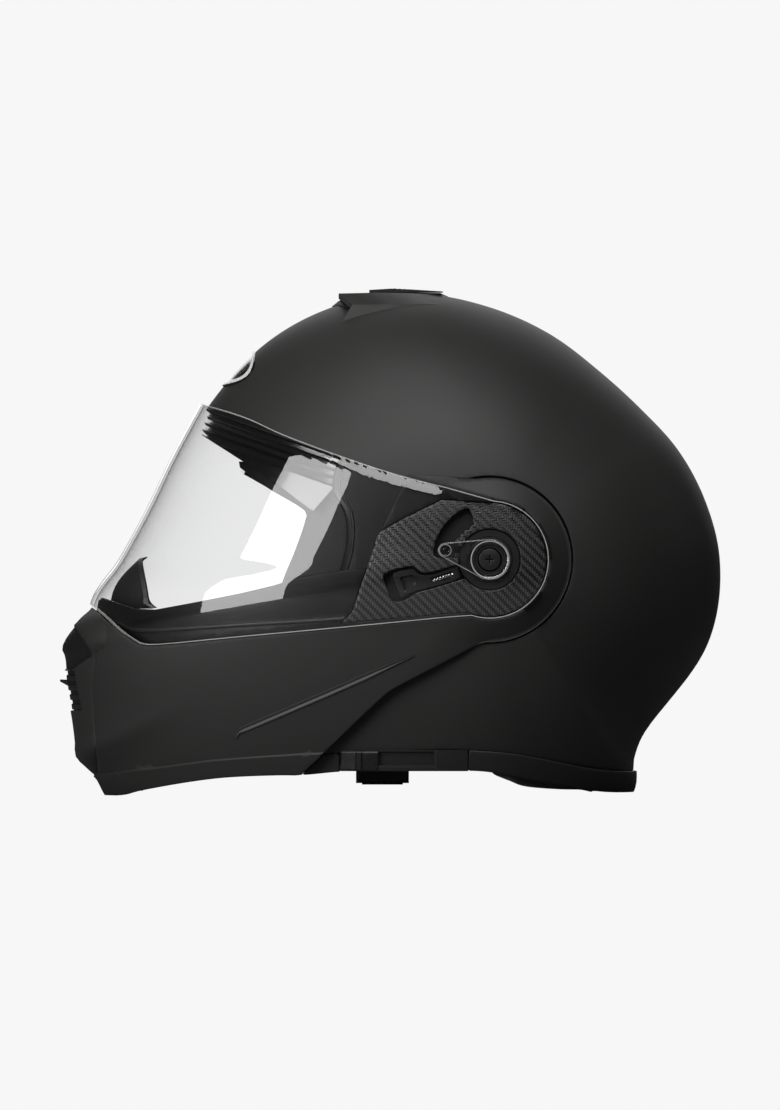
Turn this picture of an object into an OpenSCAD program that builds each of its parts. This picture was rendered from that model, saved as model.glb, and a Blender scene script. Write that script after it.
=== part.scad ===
// Flip-up motorcycle helmet. +Z up, the face looks along -Y, the wearer's left is +X.
// The origin is on the ground, under the middle of the helmet's box.

/* [Shell] */
// Half-width of the outer shell at the flip axis
shell_half_w = 123.5; // [122:0.5:124]
// Wall of the outer shell and of the chin bar
shell_wall = 3.5; // [3:0.5:4]
// How much narrower the shell is at the ground than at the flip axis
narrowing = 0.08; // [0:0.01:0.1]

/* [Chin bar and visors] */
// Half-width of the chin bar at the flip axis
chin_half_w = 128.5; // [128.5:0.5:129.5]
// Thickness of the clear visor
visor_wall = 2.2; // [1.8:0.1:2.2]
// Thickness of the drop-down sun visor
sun_wall = 2; // [1.6:0.1:2]

/* [Mechanism] */
// Radius of the round ear of the chin bar
ear_r = 44; // [42:1:44]
// Radius of the post that the chin bar turns on
post_r = 6; // [5:0.5:6]
// Radius of the hub that the visor turns on
hub_r = 9; // [9:0.5:10]
// Running clearance on a radius
running = 0.05; // [0.03:0.01:0.08]

/* [Straps] */
// Width of the chin strap
strap_w = 24; // [20:1:25]
// Thickness of the chin strap
strap_t = 2.4; // [1.5:0.1:3]

/* [Hidden] */
$fn = 64;

// The flip axis runs along X through this point, [y, z].
pivot = [52.5, 125];
// Lobes are drawn with this many steps round the flip axis and across the helmet.
around = 48;
across = 20;
// Power of the outline's radial term: above 2 the sides are flatter than an ellipse.
flatness = 2.4;
reach = 150; // half-length of the cutting prisms

// Side profiles about the flip axis: [angle, radius], angle 0 to the rear, 90 up and 180 to the front.
shell_profile = [
    [-58, 143], [-54, 131], [-48, 123.5], [-38, 121.5], [-20, 124.5], [0, 122.5], [15, 119], [30, 116],
    [45, 113.5], [60, 116], [75, 124], [90, 134], [105, 146], [120, 156.5], [135, 164.5], [151, 169.5],
    [170, 178], [190, 205], [210, 218], [231, 224], [255, 220], [270, 198], [285, 166]
];
chin_profile = [
    [-90, 170], [-45, 116], [0, 110], [45, 112], [90, 130], [120, 158], [150, 174.5], [172, 184],
    [184, 205], [189, 227], [192, 233], [200, 235.2], [206, 241], [211, 237.5], [231, 238], [250, 226]
];
visor_profile = [
    [-60, 214], [0, 190], [90, 172], [153, 174.3], [163, 177.5], [172, 184.2], [180, 196.5], [186.4, 213],
    [200, 219], [240, 218]
];
head_profile = [
    [-58, 112], [-40, 92], [-20, 87], [0, 83], [30, 78], [60, 82], [90, 96], [115, 112], [135, 120],
    [155, 124], [190, 128], [231, 132], [262, 130]
];
sun_r = 140;

function wrap(a, lo) = a - 360 * floor((a - lo) / 360);
function span_of(t, a, i = 0) = i + 1 >= len(t) || a < t[i + 1][0] ? i : span_of(t, a, i + 1);
function knot(t, i) =
    let (n = len(t), turns = floor(i / n))
    [t[i - n * turns][0] + 360 * turns, t[i - n * turns][1]];
function slope(t, i) =
    let (p = knot(t, i - 1), q = knot(t, i + 1))
    (q[1] - p[1]) / (q[0] - p[0]);
// Radius of a profile at an angle, on a smooth curve through its knots.
function radius_at(t, angle) =
    let (
        a = wrap(angle, t[0][0]),
        i = span_of(t, a),
        p = knot(t, i),
        q = knot(t, i + 1),
        h = q[0] - p[0],
        u = (a - p[0]) / h
    )
    (2 * u ^ 3 - 3 * u ^ 2 + 1) * p[1] + (u ^ 3 - 2 * u ^ 2 + u) * h * slope(t, i)
    + (3 * u ^ 2 - 2 * u ^ 3) * q[1] + (u ^ 3 - u ^ 2) * h * slope(t, i + 1);

// A smooth open curve through side-view points.
function curve(p, steps = 6) = [
    for (i = [0 : len(p) - 2])
        let (
            a = p[max(i - 1, 0)],
            b = p[i],
            c = p[i + 1],
            d = p[min(i + 2, len(p) - 1)]
        )
        for (k = [0 : i == len(p) - 2 ? steps : steps - 1])
            let (u = k / steps)
            0.5 * (2 * b + (c - a) * u + (2 * a - 5 * b + 4 * c - d) * u ^ 2
                   + (3 * b - a - 3 * c + d) * u ^ 3)
];
function arc(r, from, to, steps = 16) = [
    for (k = [0 : steps])
        let (a = from + (to - from) * k / steps)
        pivot + r * [cos(a), sin(a)]
];
function polar(r, a) = pivot + r * [cos(a), sin(a)];

// Side-view outlines, [y, z].
brow_line = [[-118, 211], [-95.8, 203.6], [5, 167.4]];
eyeport_rear = [[-24, 175], [-26, 162], [-20, 150], [-19, 135], [-23, 118], [-31, 104], [-37, 96]];
seam = [[47, 80.2], [5.6, 58.9], [-4.5, 52], [-27.9, 29.7], [-46.5, 12]];
band_top = [[-60, 21], [-37, 22], [0, 23.5], [42, 25], [68, 22], [102, 15.4], [128, 13], [150, 13]];
band_bottom = [[-60, 12.5], [-40, 12.8], [0, 13], [42, 13.5], [59, 11.5], [81, 7.4], [113, 2.9], [150, 2.6]];
shell_outline = concat(
    brow_line, curve(eyeport_rear), [[-36, 60], [-50, 30]], curve([for (p = band_top) p + [0, 0.2]]),
    [[190, 13], [190, 290], [-118, 290]]
);
visor_bottom = [
    [-185, 119], [-159, 101], [-144.2, 88.1], [-130.4, 79.9],
    [-116, 80.7], [-86.3, 83.6], [-19.9, 89.7], [30, 94.6]
];
visor_top = [
    [24.7, 164.6], [-5.6, 173.1], [-53.4, 190.1], [-76.2, 200.2],
    [-95.8, 206.6], [-103, 208], [-130, 206]
];
visor_round_r = 31.2;
visor_outline = concat(
    curve(visor_bottom, 4), arc(visor_round_r, -108, 86), curve(visor_top, 4), [[-185, 206]]
);
chin_outline = concat(
    [[-190, 104], [-158, 106.4], [-134, 97], [-128, 90], [-93, 91.6], [-43, 95.4], [-34, 100]],
    [[-14, 112], [-6, 139.1], [9.3, 169.9], [44.3, 168.4]],
    arc(ear_r, 90, -92), seam, [[-46.5, 11.2]],
    curve([[-60.3, 11.2], [-86.3, 10.1], [-107.5, 7.4], [-130.4, 3.2], [-141, 0.6], [-148, 0]]), [[-190, 0]]
);
plate_outline = concat(
    [[-20, 97], [-26, 92], [10, 95], [30, 96.8]], arc(30.4, -112, 88), [[27, 156.6], [5, 145.5], [-6, 139.1]]
);
window_outline = concat(arc(28.9, 179, 113), arc(18.5, 113, 179));

module side_prism(points, from = -reach, to = reach) {
    translate([from, 0, 0]) rotate([90, 0, 90]) linear_extrude(to - from) polygon(points);
}
// Turns a piece that is drawn along +Z to lie along +X on the flip axis.
module on_axis(from = 0) {
    translate([from, pivot[0], pivot[1]]) rotate([0, 90, 0]) children();
}
module both(side) {
    if (side > 0) children();
    else mirror([1, 0, 0]) children();
}
// Turned shapes leave through the mesh, because their smooth surfaces are grids.
module meshed() {
    resize([0, 0, 0]) children();
}
// A closed egg about the flip axis: half-width w, and a profile's radius less inset round it.
module lobe(w, profile, inset = 0, n = around, m = across) {
    ring = [for (i = [0 : n - 1]) let (a = 360 * i / n) [a, radius_at(profile, a) - inset]];
    points = [
        for (j = [1 : m - 1])
            let (t = 180 * j / m)
            for (p = ring)
                let (
                    r = p[1] * pow(sin(t), 2 / flatness),
                    z = pivot[1] + r * sin(p[0]),
                    narrow = 1 - narrowing * (max(0, pivot[1] - z) / pivot[1]) ^ 2
                )
                [w * cos(t) * narrow, pivot[0] + r * cos(p[0]), z]
    ];
    sides = [
        for (j = [0 : m - 3], i = [0 : n - 1])
            let (k = (i + 1) % n)
            each [[j * n + i, j * n + k, (j + 1) * n + k], [j * n + i, (j + 1) * n + k, (j + 1) * n + i]]
    ];
    caps = [
        for (i = [1 : n - 2]) each [[0, i + 1, i], [(m - 2) * n, (m - 2) * n + i, (m - 2) * n + i + 1]]
    ];
    polyhedron(points, concat(sides, caps));
}

// ---- shell ----
pocket_r = ear_r + 2.5;
floor_x = 115.5;
module outer_shell() {
    color([0.07, 0.07, 0.07]) meshed() difference() {
        intersection() {
            lobe(shell_half_w, shell_profile);
            side_prism(shell_outline);
        }
        difference() {
            lobe(shell_half_w - shell_wall, shell_profile, shell_wall);
            for (s = [-1, 1]) both(s) on_axis(floor_x - 3) cylinder(r = pocket_r + 3, h = 20, $fn = 36);
        }
        for (s = [-1, 1]) both(s) {
            on_axis(floor_x) cylinder(r = pocket_r, h = 20, $fn = 44);
            on_axis(floor_x - 10) cylinder(r = 3.2, h = 20, $fn = 16);
        }
    }
}
module shell_band(outline, outer, inner) {
    meshed() intersection() {
        difference() {
            lobe(shell_half_w + outer, shell_profile, -outer);
            lobe(shell_half_w - inner, shell_profile, inner);
        }
        side_prism(outline);
    }
}
module lower_edge_trim() {
    top = curve(band_top);
    color([0.05, 0.05, 0.05]) meshed() difference() {
        shell_band(
            concat(curve(band_bottom), [[150, 13]], [for (i = [len(top) - 1 : -1 : 0]) top[i]]), 0.6, 6
        );
        side_prism([[-80, 0], [-55, 0], [-44, 12], [-32, 26], [-80, 26]]);
        slider_notch(3);
    }
}
module eyeport_gasket() {
    // Rubber edge on the rear side of the face opening.
    line = curve(eyeport_rear);
    color([0.03, 0.03, 0.03]) shell_band(
        concat(
            [for (p = line) p - [3.8, 0]],
            [for (i = [len(line) - 1 : -1 : 0]) line[i] - [0.3, 0]]
        ), -0.6, 5.4
    );
}
module brow_frame() {
    // A band that closes the gap between the shell's brow edge and the liner.
    color([0.03, 0.03, 0.03]) shell_band(
        [[-118, 209], [-95.8, 203.3], [-29, 179.3], [-29, 176], [-34.5, 160], [-42, 151], [-76, 175.4],
            [-104, 193.4], [-118, 200]],
        -4.6, 9
    );
}
// Everything outside the sun visor's sweep, over the angles it turns through.
module sun_visor_room() {
    difference() {
        side_prism(concat(arc(180, 208, 100), [pivot]));
        lobe(107, [[0, 136], [90, 136], [180, 136]], 0, 40, 16);
    }
}
module eps_liner() {
    color([0.15, 0.15, 0.16]) meshed() difference() {
        intersection() {
            lobe(shell_half_w - shell_wall - 1, shell_profile, shell_wall + 1.5, 36, 14);
            side_prism(concat(
                [[-118, 206], [-84, 186], [-42, 156], [-28, 164], [-20, 150], [-20, 124], [-30, 104]],
                [[56, 100], [76, 40], [88, 30], [132, 27], [190, 27], [190, 290], [-118, 290]]
            ));
        }
        lobe(90, head_profile, 0, 32, 12);
        sun_visor_room();
        for (s = [-1, 1]) both(s) on_axis(104.4) cylinder(r = pocket_r + 6, h = 30);
    }
}
module crown_pad() {
    color([0.12, 0.12, 0.13]) meshed() intersection() {
        difference() {
            lobe(89.6, head_profile, 0.4, 32, 12);
            lobe(79, head_profile, 10, 32, 12);
        }
        side_prism([[-90, 190], [-50, 160], [-24, 158], [-14, 132], [0, 112], [50, 104], [80, 60], [150, 50],
            [150, 250], [-90, 250]]);
    }
}
cheek_outline = curve([
    [-22, 96], [-33, 84], [-36, 58], [-30, 28], [0, 27], [40, 28], [58, 40], [62, 70], [46, 94], [10, 97],
    [-22, 96]
], 3);
// An upright oval, for the space that the face and neck pass through.
module throat(half_w, half_l) {
    translate([0, 32, -20]) scale([half_w / half_l, 1, 1]) cylinder(r = half_l, h = 300);
}
module cheek_pad(side) {
    color([0.1, 0.1, 0.11]) meshed() both(side) difference() {
        intersection() {
            lobe(shell_half_w - 6, shell_profile, 7, 40, 16);
            side_prism(cheek_outline, 20, reach);
        }
        throat(66, 105);
        sun_visor_room();
        on_axis(floor_x - 11) cylinder(r = pocket_r + 6, h = 30);
        slider_notch(5);
        strap_anchor_room();
    }
}
module neck_roll() {
    color([0.1, 0.1, 0.11]) meshed() intersection() {
        difference() {
            lobe(shell_half_w - 7.2, shell_profile, 7.2, 40, 16);
            throat(76, 74);
        }
        side_prism(curve([[50, 24], [48, 12], [59, 7.5], [71, 2.6], [86, 0.6], [104, 0], [120, 1], [131, 8],
            [134, 22], [120, 25], [50, 24]], 4));
    }
}
// Half of the scoop's corners: [half-width, y, z].
scoop_corners = [
    [30, -27, 266], [38, -20, 259.5], [48.6, -27, 247.5], [24, 31, 263.4],
    [46, 0, 255], [40, 44, 253], [46, -24, 240], [38, 44, 240]
];
module top_vent_scoop() {
    // A low wedge on the crown with an air slot in its front face.
    color([0.07, 0.07, 0.07]) meshed() difference() {
        hull() {
            for (s = [-1, 1], p = scoop_corners) translate([s * p[0], p[1], p[2]]) sphere(r = 0.6, $fn = 8);
            translate([-12, -20, 260]) cube([24, 36, 6.8]);
        }
        lobe(shell_half_w + 0.3, shell_profile, -0.3);
        side_prism([[-45, 263.2], [-24, 263.6], [-16, 263.6], [-12, 257.5], [-45, 250]], -17, 17);
        scoop_slot(0.3);
    }
}
slider_z = 266.6;
module scoop_slot(gap) {
    translate([-8.6 - gap, -19, slider_z - gap]) cube([17.2 + 2 * gap, 56, 8]);
}
module top_vent_slider() {
    top = [[-11, slider_z], [-11, 268], [0.5, 268.7], [12, 268.2], [28, 267.2], [28, slider_z]];
    color([0.04, 0.04, 0.04]) {
        side_prism(top, -8.6, 8.6);
        for (y = [2 : 2.5 : 12]) translate([-6, y, slider_z + 0.4]) cube([12, 1.2, 1.9 - 0.06 * y]);
    }
}
module brow_badge() {
    // A blank six-sided plate that follows the forehead.
    color([0.75, 0.76, 0.78]) meshed() intersection() {
        difference() {
            lobe(shell_half_w + 1.5, shell_profile, -1.5);
            lobe(shell_half_w + 0.4, shell_profile, -0.4);
        }
        translate([0, -76.5, 230.5]) rotate([50, 0, 0]) linear_extrude(30, center = true)
            polygon([[-22, 0], [-15, 11.5], [15, 11.5], [22, 0], [15, -11.5], [-15, -11.5]]);
    }
}

// ---- hinge ----
module pivot_base(side) {
    color([0.2, 0.2, 0.21]) both(side) difference() {
        union() {
            on_axis(floor_x) cylinder(r = 20, h = 0.8);
            on_axis(floor_x) cylinder(r = post_r, h = 14);
            on_axis(floor_x - 4.2) cylinder(r = 3.1, h = 4.7);
        }
        on_axis(floor_x - 8) cylinder(r = 1.8, h = 30);
    }
}
module cross_recess(r, depth) {
    for (a = [0, 90]) rotate([0, 0, a]) translate([-r, -0.6, 0]) cube([2 * r, 1.2, depth]);
}
module pivot_screw(side) {
    color([0.1, 0.1, 0.1]) both(side) difference() {
        union() {
            on_axis(floor_x + 14.1) cylinder(r = 7.4, h = 1.4);
            on_axis(floor_x + 4) cylinder(r = 1.75, h = 10.2);
        }
        on_axis(floor_x + 14.7) cross_recess(3, 2);
    }
}
arm_x = floor_x + 1.2;
module hinge_arm(side) {
    color([0.25, 0.25, 0.26]) both(side) difference() {
        on_axis(arm_x) cylinder(r = ear_r - 5, h = 2.3);
        on_axis(arm_x - 1) cylinder(r = post_r + running, h = 5);
    }
}
module hinge_screws() {
    // Three short screws on each side hold the side plate to the hinge arm.
    color([0.4, 0.4, 0.42]) for (s = [-1, 1]) both(s) for (a = [30, 150, 270])
        translate([arm_x + 2.4, pivot[0], pivot[1]]) rotate([0, 90, 0]) rotate([0, 0, a])
            translate([15, 0, 0]) cylinder(r = 2, h = 3);
}
plate_x = arm_x + 2.6;
module side_plate(side) {
    color([0.12, 0.12, 0.13]) meshed() both(side) difference() {
        intersection() {
            lobe(chin_half_w - 1.2, chin_profile, 3);
            side_prism(plate_outline, plate_x, reach);
        }
        // It rides over the shell where it reaches past the round pocket.
        difference() {
            lobe(shell_half_w + 0.6, shell_profile, -0.6);
            on_axis(floor_x) cylinder(r = pocket_r - 1.5, h = 20);
        }
        on_axis(plate_x - 1) cylinder(r = 11.4, h = 20);
        side_prism(window_outline, plate_x + 4, reach);
        lever_room();
        for (a = [30, 150, 270]) translate([plate_x - 1, pivot[0], pivot[1]]) rotate([0, 90, 0])
            rotate([0, 0, a]) translate([15, 0, 0]) cylinder(r = 2.3, h = 4.5);
    }
}
module visor_hub(side) {
    color([0.1, 0.1, 0.1]) both(side) difference() {
        union() {
            on_axis(plate_x) cylinder(r = 11, h = 6);
            on_axis(plate_x) cylinder(r = hub_r, h = 10.1);
        }
        on_axis(plate_x - 1) cylinder(r = post_r + 0.4, h = 20);
    }
}
lever_angle = 17;
module at_lever() {
    translate([0, pivot[0], pivot[1]]) rotate([lever_angle, 0, 0]) children();
}
lever_x = plate_x + 3.2;
module lever_room() {
    at_lever() translate([lever_x - 0.3, -53, -7]) cube([20, 41, 10.5]);
    at_lever() translate([lever_x - 0.3, -53, -10]) cube([20, 20, 20]);
}
module release_lever(side) {
    // A thumb tab with a stem that a small spring pushes towards the front.
    color([0.08, 0.08, 0.08]) both(side) at_lever() difference() {
        union() {
            translate([lever_x, -48, -9]) cube([3.6, 13, 16]);
            translate([lever_x, -35.5, -4.8]) cube([3.6, 19, 6.6]);
        }
        translate([lever_x + 1.4, -46, -7]) cube([5, 9, 12]);
        translate([lever_x + 0.8, -33, -3.6]) cube([5, 13.6, 4.2]);
    }
}
module lever_spring(side) {
    color([0.7, 0.7, 0.72]) both(side) at_lever() for (i = [0 : 6])
        translate([lever_x + 2.3, -32 + i * 1.8, -1.5]) rotate([90, 0, 0]) rotate_extrude($fn = 24)
            translate([1.1, 0]) circle(r = 0.28, $fn = 16);
}

// ---- chin bar ----
// The edge under the visor: a shelf at the visor's lower edge, and a lip that stands up behind the visor.
module chin_lip() {
    low = [for (p = visor_bottom) if (p[0] < -70) p];
    back = [for (i = [len(low) - 1 : -1 : 0]) low[i]];
    difference() {
        union() {
            intersection() {
                lobe(chin_half_w - 0.3, visor_profile, visor_wall + 2);
                side_prism(concat([[-190, 104], [-158, 106.4], [-134, 97], [-128, 90], [-86.3, 91.6]],
                    [for (p = back) p - [0, 5]]));
            }
            intersection() {
                lobe(chin_half_w - 0.3, chin_profile, 0.3);
                side_prism(concat([for (p = low) p - [0, 0.9]], [for (p = back) p - [0, 5]]));
            }
        }
        lobe(chin_half_w - 4, visor_profile, visor_wall + 5.6);
    }
}
module chin_bar_shell() {
    inner_w = chin_half_w - shell_wall + 0.5;
    color([0.07, 0.07, 0.07]) meshed() difference() {
        union() {
            difference() {
                intersection() {
                    lobe(chin_half_w, chin_profile);
                    side_prism(chin_outline);
                }
                lobe(inner_w, chin_profile, shell_wall + 0.03);
            }
            chin_lip();
            for (s = [-1, 1]) both(s) intersection() {
                lobe(chin_half_w - 1, chin_profile, 1);
                on_axis(arm_x + 2.5) difference() {
                    cylinder(r = ear_r, h = 20);
                    translate([0, 0, -1]) cylinder(r = ear_r - 3, h = 30);
                }
            }
        }
        // The visor lies in a shallow recess.
        difference() {
            side_prism(concat(
                curve([for (p = visor_bottom) p - [0, 0.8]], 4), arc(visor_round_r + 0.6, -108, 86),
                curve([for (p = visor_top) p + [0, 1]], 4), [[-190, 210]]));
            lobe(chin_half_w - 0.2, visor_profile, visor_wall + 2);
        }
        for (s = [-1, 1]) both(s) {
            side_prism([for (p = plate_outline) pivot + (p - pivot) * 1.01], plate_x - 10, reach);
        }
        // Mouth of the front vent.
        translate([-30, -190, 44]) cube([60, 40, 22]);
    }
}
module chin_pad() {
    color([0.13, 0.13, 0.14]) meshed() difference() {
        intersection() {
            lobe(chin_half_w - shell_wall - 1, chin_profile, shell_wall + 8);
            side_prism([[-190, 73.5], [-100, 73.5], [-100, 22], [-140, 14], [-190, 14]]);
        }
        on_axis(-reach) cylinder(r = 196, h = 2 * reach, $fn = 180);
    }
}
module breath_guard() {
    color([0.04, 0.04, 0.04]) difference() {
        on_axis(-36) rotate_extrude() translate([182, 0]) square([2.4, 72]);
        translate([-60, -60, -200]) cube([120, 400, 600]);
        translate([-60, -240, -200]) cube([120, 300, 298]);
        translate([-60, -240, 127]) cube([120, 300, 200]);
        for (s = [-1, 1]) translate([s * 52, 0, 127]) rotate([90, 0, 0]) cylinder(r = 24, h = 300);
    }
}
module chin_vent_grille() {
    color([0.05, 0.05, 0.05]) difference() {
        union() {
            for (i = [0 : 3]) translate([-28.6, -167.5, 46 + i * 5]) cube([57.2, 3, 1.8]);
            for (x = [-29.5, -0.8, 27.9]) translate([x, -167.5, 44.3]) cube([1.6, 3, 21.4]);
        }
        translate([-6.5, -170, 57.9]) cube([13, 8, 9]);
    }
}
module chin_vent_shutter() {
    color([0.05, 0.05, 0.05]) {
        translate([-26, -163.9, 45]) cube([52, 1.2, 14]);
        translate([-5, -173, 58.2]) cube([10, 10.3, 1.2]);
        translate([-5, -175.1, 57.6]) cube([10, 3.1, 2.8]);
    }
}
module visor_seal() {
    // Rubber bead along the top edge of the chin bar.
    line = [[-190, 104.2], [-158, 106.6], [-134, 97.2], [-128, 90.2], [-93, 91.8], [-43, 95.6], [-35, 99.6]];
    color([0.03, 0.03, 0.03]) meshed() intersection() {
        difference() {
            lobe(chin_half_w - 0.9, visor_profile, visor_wall + 1.2);
            lobe(chin_half_w - 4.6, visor_profile, visor_wall + 5);
        }
        side_prism(concat(
            [for (p = line) p + [0, 0.2]],
            [for (i = [len(line) - 1 : -1 : 0]) line[i] + [0, 3.2]]
        ));
    }
}

// ---- visors ----
module visor_lens() {
    color([0.85, 0.9, 0.92, 0.3]) meshed() difference() {
        intersection() {
            lobe(chin_half_w + 1.1 + visor_wall, visor_profile);
            side_prism(visor_outline);
        }
        lobe(chin_half_w + 1.1, visor_profile, visor_wall);
        on_axis(-reach) cylinder(r = hub_r + 0.4, h = 2 * reach);
    }
}
boss_x = plate_x + 6.7;
module visor_boss(side) {
    // The clear ring that turns on the hub, with an arm to the pin that runs in the curved window.
    color([0.8, 0.85, 0.88, 0.5]) both(side) difference() {
        union() {
            on_axis(boss_x) cylinder(r = 10.9, h = 1.7);
            translate([boss_x, pivot[0], pivot[1]]) rotate([90, 0, 90]) linear_extrude(1.4)
                polygon([[-0.5, 10.6], [-25.4, 8.8], [-27.2, 5.6], [-26.4, 2.2], [-7, -8.4]]);
            on_axis(boss_x - 2) translate([-4.9, -23.5, 0]) cylinder(r = 3.4, h = 3.4);
        }
        on_axis(boss_x - 4) cylinder(r = hub_r + running, h = 8);
    }
}
module sun_visor() {
    color([0.05, 0.05, 0.05, 0.7]) meshed() union() {
        intersection() {
            difference() {
                lobe(110.6, [[0, sun_r], [90, sun_r], [180, sun_r]], 0, 40, 16);
                lobe(110.6 - sun_wall, [[0, sun_r], [90, sun_r], [180, sun_r]], sun_wall, 40, 16);
                on_axis(-reach) cylinder(r = 4 + running + 0.01, h = 2 * reach);
            }
            side_prism(concat(
                [polar(60, 131)], arc(150, 118, 160), [polar(92, 166), polar(60, 158), polar(30, 152)],
                arc(9, 200, 420), [polar(30, 137)]
            ));
        }
    }
}
module sun_visor_pin(side) {
    color([0.5, 0.5, 0.52]) both(side) {
        on_axis(106.2) cylinder(r = 4, h = 4.9);
        on_axis(104.7) cylinder(r = 5.5, h = 1.5);
        on_axis(111.1) difference() {
            cylinder(r = 8, h = 1.3);
            translate([0, 0, -1]) cylinder(r = 3.4, h = 4);
        }
        on_axis(106) difference() {
            cylinder(r = 4, h = 6.4);
            translate([0, 0, 2]) cylinder(r = 3.4, h = 6);
        }
    }
}

// ---- sun visor slider, on the left lower edge ----
slide_turn = -4;
module at_slider() {
    translate([101.4, -16, 18]) rotate([0, 0, slide_turn]) children();
}
module slider_notch(extra = 0) {
    at_slider() translate([-7.2 - extra, -12.1, -5.3 - extra]) cube([24, 69.6, 10 + 2 * extra]);
}
module sun_slider_track() {
    color([0.06, 0.06, 0.06]) at_slider() difference() {
        translate([-6.8, -11.8, -5]) cube([6.8, 69, 9.4]);
        translate([-4.2, -10.4, -3.6]) cube([10, 48.8, 6.8]);
        translate([-1.2, 38.9, -6]) cube([10, 0.5, 12]);
    }
}
module sun_slider_knob() {
    color([0.09, 0.09, 0.09]) at_slider() {
        translate([-3.8, -10, -3.3]) cube([4.1, 20, 6.2]);
        translate([0.3, -10, -4.7]) cube([1, 20, 8.8]);
        for (i = [0 : 9]) translate([1.3, -9.4 + i * 2 - (i > 4 ? 0 : 0.2), -4.2]) cube([0.5, 0.9, 8]);
        translate([1.3, -0.45, -4.4]) cube([1.5, 0.9, 8.2]);
    }
}

// ---- chin bar lock ----
striker = [-42, 32];
module latch_striker(side) {
    color([0.65, 0.65, 0.67]) both(side) translate([0, striker[0], striker[1]]) rotate([0, 90, 0]) {
        translate([0, 0, 83]) cylinder(r = 2.5, h = 11.8);
        translate([0, 0, 90.5]) cylinder(r = 4.5, h = 2.4);
    }
}
module latch_catch(side) {
    // A plate on the chin bar whose slot takes the pin as the bar comes down.
    color([0.6, 0.6, 0.62])
        both(side) translate([86, striker[0], striker[1]]) rotate([-45, 0, 0]) difference() {
        union() {
            translate([1, -14, -6]) cube([2.4, 17, 12]);
            translate([1, -14, -6]) cube([13.8, 5, 5]);
        }
        translate([-1, 0, -3.1]) cube([5, 6, 6.2]);
        translate([-1, 0, 0]) rotate([0, 90, 0]) cylinder(r = 3.1, h = 5);
    }
}
module button_housing() {
    color([0.06, 0.06, 0.06]) difference() {
        translate([-16, -145, 4]) cube([32, 18, 10]);
        translate([-12.5, -142.5, 3]) cube([25, 13, 9.5]);
    }
}
module release_button() {
    color([0.45, 0.06, 0.05]) {
        translate([-12, -142, 3]) cube([24, 12, 5]);
        for (i = [0 : 5]) translate([-10 + i * 3.6, -141, 2.4]) cube([1.6, 10, 0.7]);
    }
}

// ---- straps ----
strap_y = -16;
module strap_anchor_room() {
    translate([50, strap_y - 2, 26]) cube([38, strap_w + 4, 50]);
}
function strap_line(from, to, drop) = [
    for (k = [0 : 14])
        let (x = from + (to - from) * k / 14, u = x / 80)
        [x, 11 + drop + 46 * abs(u) ^ 3]
];
module strap(from, to, lift = 0) {
    line = strap_line(from, to, lift);
    side = from < 0 ? -1 : 1;
    translate([0, strap_y + strap_w, 0]) rotate([90, 0, 0]) linear_extrude(strap_w)
        polygon(concat(line, [for (i = [len(line) - 1 : -1 : 0]) line[i] + [0, strap_t]]));
    translate([side * 77.2 - strap_t / 2, strap_y, 52]) cube([strap_t, strap_w, 18]);
}
module chin_strap_left() {
    color([0.06, 0.06, 0.06]) strap(40, 78);
}
module chin_strap_right() {
    color([0.06, 0.06, 0.06]) strap(-78, 12);
}
module strap_anchor(side) {
    color([0.6, 0.6, 0.62]) both(side) {
        translate([78.6, strap_y + 4, 55]) cube([2, strap_w - 8, 14]);
        translate([80.6, strap_y + strap_w / 2, 62]) rotate([0, 90, 0]) cylinder(r = 4, h = 3);
    }
}
buckle_pin_at = [30.4, 7.6];
module buckle_frame() {
    color([0.1, 0.1, 0.1]) difference() {
        translate([14, strap_y - 2, 6]) cube([25.7, strap_w + 4, 9]);
        translate([12, strap_y + 0.6, 10]) cube([24, strap_w - 1.2, 3.4]);
        translate([15.5, strap_y + 0.6, 4]) cube([18, strap_w - 1.2, 7]);
        translate([buckle_pin_at[0], strap_y - 5, buckle_pin_at[1]]) rotate([-90, 0, 0])
            cylinder(r = 1, h = 60);
    }
}
module buckle_pin() {
    color([0.6, 0.6, 0.62]) translate([buckle_pin_at[0], strap_y - 2, buckle_pin_at[1]]) rotate([-90, 0, 0])
        cylinder(r = 1, h = strap_w + 4);
}
module strap_tongue() {
    color([0.75, 0.75, 0.77]) {
        translate([12.3, strap_y + 4, 10.9]) cube([20, strap_w - 8, 1.6]);
        for (i = [0 : 5]) translate([15 + i * 2.8, strap_y + 5, 10.4]) cube([1.4, strap_w - 10, 0.6]);
    }
}
module buckle_lever() {
    color([0.5, 0.06, 0.05]) difference() {
        union() {
            translate([16.4, strap_y + 1.2, 6.2]) cube([14, strap_w - 2.4, 2]);
            translate([buckle_pin_at[0], strap_y + 1.2, buckle_pin_at[1]]) rotate([-90, 0, 0])
                cylinder(r = 1.8, h = strap_w - 2.4);
        }
        translate([buckle_pin_at[0], strap_y, buckle_pin_at[1]]) rotate([-90, 0, 0])
            cylinder(r = 1 + running, h = 60);
    }
}

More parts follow.
